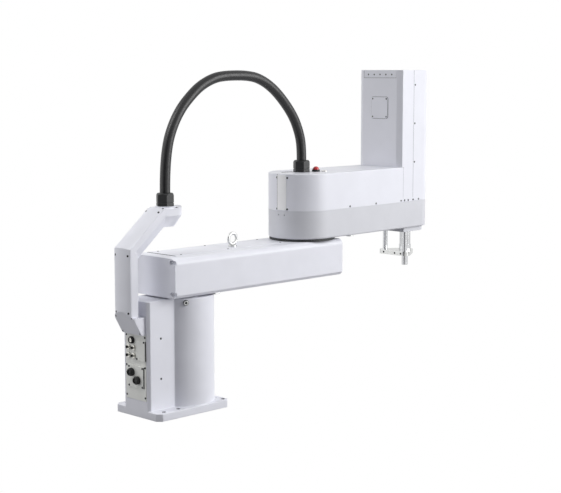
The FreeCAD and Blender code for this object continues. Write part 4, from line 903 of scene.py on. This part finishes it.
class AddArmTwo(Operator):
    """Add the arm 2 casting, cover and access strip."""
    bl_idname = "robot.add_arm_two"
    bl_label = "Arm 2"

    def execute(self, context):
        size = sizes()
        eased_all(size.small_edge, ("arm_2_casting", "outer_arm_casting"),
                  ("arm_2_cover", "outer_arm_cover"))
        eased("arm_2_access_strip", "access_strip", size.small_edge, finish="strip_paint")
        eased("j2_stop_pin", "joint_2_stop_pin", size.metal_edge, finish="stop_steel")
        # Painted shade beside the access strip and in the cable well
        shade_strips(ARM_TWO_GAP_SHADES, "arm_2_access_strip")
        return {"FINISHED"}


DOME_R = 0.0104
DOME_RISE = 0.0092
# Height of the skirt's end over the button's foot, which keeps it clear of the cover when pressed
SKIRT_END = 0.0023
# How far the bezel and the port stand below the tops of their nodes
BEZEL_DEPTH = 0.0045
PORT_DEPTH = 0.003
BEZEL = (0.0125, 0.0060, ((0.0125, 0.0012, 0.0114), (0.0106, -0.0012, 0.0106)))
PORT = (0.0090, 0.0022, ((0.0090, 0.0008, 0.0082), (0.0052, -0.0020, 0.0052)))


class AddTopFittings(Operator):
    """Add the brake button, its bezel and the port beside it."""
    bl_idname = "robot.add_top_fittings"
    bl_label = "Button and port"

    def execute(self, context):
        size = sizes()
        low, high = (Vector(c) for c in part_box("brake_button"))
        x, y = (low.x + high.x) / 2, (low.y + high.y) / 2
        bpy.ops.mesh.primitive_uv_sphere_add(segments=48, ring_count=32, radius=DOME_R,
                                             location=(x, y, high.z - DOME_R))
        dome = settle(active("brake_dome"))
        start_edit(dome)
        rim = high.z - DOME_RISE
        bpy.ops.mesh.bisect(plane_co=(x, y, rim), plane_no=(0, 0, -1), use_fill=True,
                            clear_outer=True)
        pick("FACE", lambda f: f.normal.z < -0.99)
        skirt = (0, 0, low.z + SKIRT_END - rim)
        bpy.ops.mesh.extrude_region_move(TRANSFORM_OT_translate={"value": skirt})
        end_edit()
        dress(soften(dome, size.small_edge, 2, 60), "red_plastic", "brake_button")
        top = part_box("button_bezel")[1][2]
        ring = soften(turned("bezel_master", *BEZEL), size.small_edge)
        fit(ring, "button_ring", [((x, y, top - BEZEL_DEPTH), UP)], "black_plastic", "button_bezel")
        low, high = (Vector(c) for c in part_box("top_port"))
        foot = ((low.x + high.x) / 2, (low.y + high.y) / 2, high.z - PORT_DEPTH)
        port = soften(turned("port_master", *PORT), size.small_edge)
        fit(port, "port_ring", [(foot, UP)], "nickel_plate", "top_port")
        return {"FINISHED"}


# Tower

# Painted shade in the side seams: name, place along the arm, half the width of the covers there,
# and upper end
SIDE_SEAM_SHADES = (("arm_side_seam", 0.8810, 0.09006, 0.6588),
              ("tower_side_seam", 0.9325, 0.08809, 0.9722))
# How far a dark seam strip of painted shade stands out, goes in and reaches to each side, and its
# lower end
SEAM_SHADE_RISE = 0.00012
SEAM_SHADE_DEPTH = 0.0010
SEAM_SHADE_HALF = 0.00022
SEAM_SHADE_FOOT = 0.5572
# How far the dark ring of painted shade stands out round the hatch and back from its face, and the
# hatch's corners
HATCH_SHADE = 0.0011
HATCH_SHADE_BACK = 0.0010
HATCH_CORNER = 0.007


def side_seam_shades():
    """Dark lines of painted shade where the covers meet on both sides, standing a hair proud of
    them.
    """
    for name, x, half, top in SIDE_SEAM_SHADES:
        for side, label in ((-1, "near"), (1, "far")):
            low, high = sorted((side * (half + SEAM_SHADE_RISE), side * (half - SEAM_SHADE_DEPTH)))
            yield (name + "_" + label, (x - SEAM_SHADE_HALF, low, SEAM_SHADE_FOOT), (x + SEAM_SHADE_HALF, high, top),
                   "tower_rear_cover")


# Painted shade: dark lines along the cap's seams, then the side seams
TOWER_SEAM_SHADES = (("cap_low_seam", (0.8642, -0.0692, 0.9474), (0.8650, 0.0692, 0.9482), "tower_cap"),
               ("cap_side_seam", (0.8642, 0.0686, 0.9482), (0.8650, 0.0693, 0.9722), "tower_cap"),
               *side_seam_shades())


class AddTower(Operator):
    """Add the tower covers, its cap, the hatch with a dark ring of painted shade round it, dark
    seam lines of painted shade, and the plate below.
    """
    bl_idname = "robot.add_tower"
    bl_label = "Tower"

    def execute(self, context):
        size = sizes()
        eased_all(size.cover_edge, ("tower_rear_cover", "tower_back"),
                  ("tower_front_cover", "tower_front"))
        eased_all(size.small_edge, ("tower_cap", "tower_lid"), ("tower_hatch", "tower_hatch_plate"))
        eased("tower_base_plate", "shaft_bearing_plate", size.metal_edge)
        low, high = (Vector(c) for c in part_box("tower_hatch"))
        # Painted shade: dark ring in the gap round the hatch
        spare = Vector((0, HATCH_SHADE, HATCH_SHADE))
        seal = block("hatch_seal", low - spare + Vector((HATCH_SHADE_BACK, 0, 0)), high + spare)
        start_edit(seal)
        pick("EDGE", lambda e: abs(e.verts[0].co.x - e.verts[1].co.x) > 0.0001)
        bpy.ops.mesh.bevel(offset=HATCH_CORNER + HATCH_SHADE, segments=6, affect="EDGES")
        end_edit()
        smooth(seal)
        dress(seal, "seam_shadow", "tower_hatch", replace=False)
        # Painted shade in the cover seams
        for name, low, high, node in TOWER_SEAM_SHADES:
            dress(block(name, low, high), "seam_shadow", node, replace=False)
        return {"FINISHED"}


# Tool shaft

# Shaft above the thinner end, which starts this far up: radius, chamfer, and its grooves
SHAFT_STEP = 0.040
SHAFT_R = 0.0185
SHAFT_CHAMFER = 0.0008
SHAFT_GROOVES = 3
GROOVE_DEPTH = 0.0010
GROOVE_SHARE = 0.1
SHAFT_END = (0.0098, 0.0007, ((0.0098, 0.0004, 0.0105), (0.0105, 0.0389, 0.0105)))
ROD_R = 0.008
ROD_CHAMFER = 0.001


class AddToolShaft(Operator):
    """Add the splined shaft, its collar, the guide rods and the link plate."""
    bl_idname = "robot.add_tool_shaft"
    bl_label = "Tool shaft"

    def execute(self, context):
        size = sizes()
        low, high = (Vector(c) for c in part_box("tool_shaft"))
        x = (low.x + high.x) / 2
        steps = ((SHAFT_R, SHAFT_CHAMFER, SHAFT_R - SHAFT_CHAMFER),)
        run = high.z - low.z - SHAFT_STEP - SHAFT_CHAMFER
        shaft = turned("spline_shaft", SHAFT_R, run, steps, 60)
        ribs(shaft, 0, 1, SHAFT_GROOVES, -GROOVE_DEPTH, GROOVE_SHARE)
        moved(shaft, x, 0, low.z + SHAFT_STEP)
        end = moved(turned("shaft_end", *SHAFT_END), x, 0, low.z)
        shaft = soften(combine(shaft, end, "UNION"), size.small_edge)
        dress(shaft, "bright_steel", "tool_shaft")
        low, high = (Vector(c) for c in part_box("guide_rods"))
        rod_x, rod_y = (low.x + high.x) / 2, high.y - ROD_R
        steps = ((ROD_R, ROD_CHAMFER, ROD_R - ROD_CHAMFER),)
        rod = smooth(turned("rod_master", ROD_R, high.z - low.z - ROD_CHAMFER, steps, 40))
        spots = [((rod_x, side * rod_y, low.z), UP) for side in (-1, 1)]
        fit(rod, "guide_rod_pair", spots, "bright_steel", "guide_rods")
        eased_all(size.metal_edge, ("link_plate", "link_bar"), ("shaft_collar", "stop_collar"))
        return {"FINISHED"}


# Screws

# Cap screw head for a radius of 1: depth, broken edge, and the hexagon socket's radius and depth
HEAD_DEPTH = 1.1
HEAD_BEVEL = 0.14
SOCKET_R = 0.56
SOCKET_DEPTH = 0.6


def screw_master():
    """Cap screw head, unit radius, with a hexagon socket; its top is at z 0."""
    head = cylinder("screw_master", 1.0, -HEAD_DEPTH, 0.0, 24)
    start_edit(head)
    pick("EDGE", lambda e: all(v.co.z > -0.01 for v in e.verts))
    bpy.ops.mesh.bevel(offset=HEAD_BEVEL, segments=2, affect="EDGES")
    end_edit()
    socket = cylinder("screw_socket", SOCKET_R, -SOCKET_DEPTH, 0.2, 6)
    return combine(head, socket, "DIFFERENCE")


def islands(node):
    """Centre, axis, radius and height of each round solid in a node."""
    data = frame["nodes"][node].data
    corners, links = {}, {}

    def root(i):
        while links[i] != i:
            links[i] = links[links[i]]
            i = links[i]
        return i
    for vertex in data.vertices:
        key = tuple(round(c, 6) for c in vertex.co)
        corners.setdefault(key, vertex.index)
        links[vertex.index] = corners[key] if corners[key] in links else vertex.index
    for face in data.polygons:
        first = root(face.vertices[0])
        for other in face.vertices[1:]:
            links[root(other)] = first
    groups = {}
    for face in data.polygons:
        groups.setdefault(root(face.vertices[0]), []).append(face)
    for faces in groups.values():
        weights = {}
        for face in faces:
            key = tuple(round(abs(c), 2) for c in face.normal)
            weights.setdefault(key, []).append(face)
        caps = max(weights.values(), key=lambda fs: sum(f.area for f in fs))
        axis = caps[0].normal.normalized()
        points = [data.vertices[i].co for f in faces for i in f.vertices]
        centre = sum(points, Vector()) / len(points)
        reach = max(((p - centre) - axis * (p - centre).dot(axis)).length for p in points)
        ends = [(p - centre).dot(axis) for p in points]
        yield (max(ends) + min(ends)) / 2 * axis + centre, axis, reach, max(ends) - min(ends)


class AddScrews(Operator):
    """Stand a cap screw with a hexagon socket in each screw's place."""
    bl_idname = "robot.add_screws"
    bl_label = "Screws"

    def execute(self, context):
        master = screw_master()
        for node, cores in SCREW_CORES.items():
            copies, pocketed = [], []
            for centre, axis, radius, height in islands(node):
                core = min((Vector(c) for c in cores), key=lambda c: (centre - c).length)
                out = axis if axis.dot(centre - core) > 0 else -axis
                scale = (radius, radius, height / HEAD_DEPTH)
                head = placed(master, centre + out * height / 2, out, scale)
                pocket = node == "arm_1_screws" and out.x < -0.9
                (pocketed if pocket else copies).append(head)
            if not copies:
                raise RuntimeError("no screws found in " + node)
            for heads, ending, finish in ((copies, "cap_screws", "screw_steel"),
                                          (pocketed, "end_screws", "bright_steel")):
                if heads:
                    piece = join(node.replace("screws", ending), heads)
                    dress(smooth(piece), finish, node)
        bpy.data.objects.remove(master)
        return {"FINISHED"}


# Stage

CAMERA_PLACE = (-2.5996, -3.0058, 0.9710)
CAMERA_PITCH = 7.206
CAMERA_YAW = 45.011
CAMERA_LENS = 89.26

FLOOR_BOUNCE = "#8A8A8D"
DARK_FRONT = (-0.82, -0.56, 0.10)
WHITE = (1, 1, 1, 1)
# Where reflections start and stop to darken, how dark they get, and how much brighter than the
# light on the paint they are elsewhere
MIRROR_DIM = (0.80, 0.975, 0.10)
MIRRORED = 1.25
# The same three for the light on the paint
SKY_DIM = (0.30, 0.92, 0.12)

# Name, place, target and size of each light, and the setting with its power
ROBOT_CENTRE = (0.45, 0, 0.5)
LIGHTS = (
    ("key", (2.6, -3.3, 1.7), ROBOT_CENTRE, (3.0, 3.0), "key_strength"),
    ("fill", (-1.8, 3.4, 1.6), ROBOT_CENTRE, (2.4, 3.0), "fill_strength"),
    ("side_fill", (-3.8, 1.8, 1.2), ROBOT_CENTRE, (2.2, 2.6), "side_strength"),
    ("overhead", (-0.9, 1.2, 3.3), ROBOT_CENTRE, (2.6, 2.6), "top_strength"),
    ("rim", (-0.7, 0.2, 1.5), (-0.15, 0, 0.55), (0.5, 0.5), "rim_strength"),
)


def area_light(name, place, target, size, power):
    data = bpy.data.lights.new(name, "AREA")
    data.shape, data.size, data.size_y = "RECTANGLE", size[0], size[1]
    data.energy = power
    light = bpy.data.objects.new(name, data)
    light.location = place
    light.rotation_euler = (Vector(target) - Vector(place)).to_track_quat("-Z", "Y").to_euler()
    link(light)


def dimmed(tree, direction, start, end, dark):
    """White that darkens from start to end of the way to the dark front."""
    front = add(tree, "VectorMath", {0: direction}, {1: DARK_FRONT}, operation="DOT_PRODUCT")
    fade = ramp(add(tree, "ValToRGB", {"Fac": front.outputs["Value"]}),
                (start, WHITE), (end, (dark, dark, dark, 1)))
    fade.color_ramp.interpolation = "EASE"
    return fade.outputs["Color"]


def by_ray(tree, kind, plain, tint, glow):
    """The plain shader, but the tinted glow for glossy rays and white for the camera."""
    mirrored = add(tree, kind, {"Color": tint}, {"Strength": glow * MIRRORED})
    seen = add(tree, kind, None, {"Color": WHITE, "Strength": 1.0})
    ray = add(tree, "LightPath").outputs
    lit = add(tree, "MixShader", {0: ray["Is Glossy Ray"], 1: plain.outputs[0],
                                  2: mirrored.outputs[0]})
    return add(tree, "MixShader", {0: ray["Is Camera Ray"], 1: lit.outputs[0],
                                   2: seen.outputs[0]})


def make_world(strength):
    """Pale sky, dimmer towards the front where the studio is dark; white to the camera."""
    world = bpy.data.worlds.new("studio")
    world.use_nodes = True
    tree = world.node_tree
    tree.nodes.clear()
    place = add(tree, "TexCoord").outputs["Generated"]
    soft = add(tree, "Background", {"Color": dimmed(tree, place, *SKY_DIM)}, {"Strength": strength})
    mix = by_ray(tree, "Background", soft, dimmed(tree, place, *MIRROR_DIM), strength)
    add(tree, "OutputWorld", {"Surface": mix.outputs[0]})
    bpy.context.scene.world = world


def make_floor(glow):
    """Pale floor: white to the camera, as bright as the sky in reflections, dull to the paint."""
    bpy.ops.mesh.primitive_circle_add(vertices=96, radius=30, fill_type="NGON",
                                      location=(0, 0, -0.0005))
    floor = bpy.context.active_object
    floor.name = "studio_floor"
    material, tree = new_material("pale_studio_floor")
    matt = add(tree, "BsdfDiffuse", None, {"Color": srgb(FLOOR_BOUNCE)})
    place = add(tree, "TexCoord")
    away = add(tree, "VectorMath", {0: place.outputs["Object"]}, operation="NORMALIZE")
    tint = dimmed(tree, away.outputs[0], *MIRROR_DIM)
    surface(tree, by_ray(tree, "Emission", matt, tint, glow))
    floor.data.materials.append(material)


class SetStage(Operator):
    """Set the floor, the soft light and the camera."""
    bl_idname = "robot.set_stage"
    bl_label = "Stage"

    def execute(self, context):
        studio = context.scene.robot_studio
        make_floor(studio.sky)
        make_world(studio.sky)
        for name, place, target, size, setting in LIGHTS:
            area_light(name, place, target, size, getattr(studio, setting))
        data = bpy.data.cameras.new("camera")
        data.lens, data.sensor_width = CAMERA_LENS, 36.0
        data.clip_start, data.clip_end = 0.1, 100.0
        camera = bpy.data.objects.new("camera", data)
        camera.location = CAMERA_PLACE
        camera.rotation_euler = (math.radians(90 - CAMERA_PITCH), 0, math.radians(CAMERA_YAW - 90))
        link(camera)
        context.scene.camera = camera
        context.scene.view_settings.view_transform = "Standard"
        return {"FINISHED"}


class RobotPanel(Panel):
    """Lists the pieces of the robot and their settings."""
    bl_idname = "VIEW3D_PT_scara_robot"
    bl_label = "SCARA robot"
    bl_space_type = "VIEW_3D"
    bl_region_type = "UI"
    bl_category = "SCARA robot"

    def draw(self, context):
        scene = context.scene
        for group in (scene.robot_sizes, scene.robot_colours, scene.robot_studio):
            box = self.layout.box()
            for name in group.__annotations__:
                box.prop(group, name)
        for step in STEPS:
            self.layout.operator(step.bl_idname)


STEPS = (FinishNodes, AddBase, AddConnectors, AddDuct, AddGlands, AddArmOne, AddArmTwo,
         AddTopFittings, AddTower, AddToolShaft, AddHose, AddScrews, SetStage)
CLASSES = (RobotSizes, RobotColours, StudioSettings, *STEPS, RobotPanel)


def register():
    for item in CLASSES:
        bpy.utils.register_class(item)
    bpy.types.Scene.robot_sizes = PointerProperty(type=RobotSizes)
    bpy.types.Scene.robot_colours = PointerProperty(type=RobotColours)
    bpy.types.Scene.robot_studio = PointerProperty(type=StudioSettings)


def unregister():
    for name in ("robot_sizes", "robot_colours", "robot_studio"):
        delattr(bpy.types.Scene, name)
    for item in reversed(CLASSES):
        bpy.utils.unregister_class(item)


def main():
    register()
    for step in STEPS:
        getattr(bpy.ops.robot, step.bl_idname.split(".")[1])()


if __name__ == "__main__":
    main()
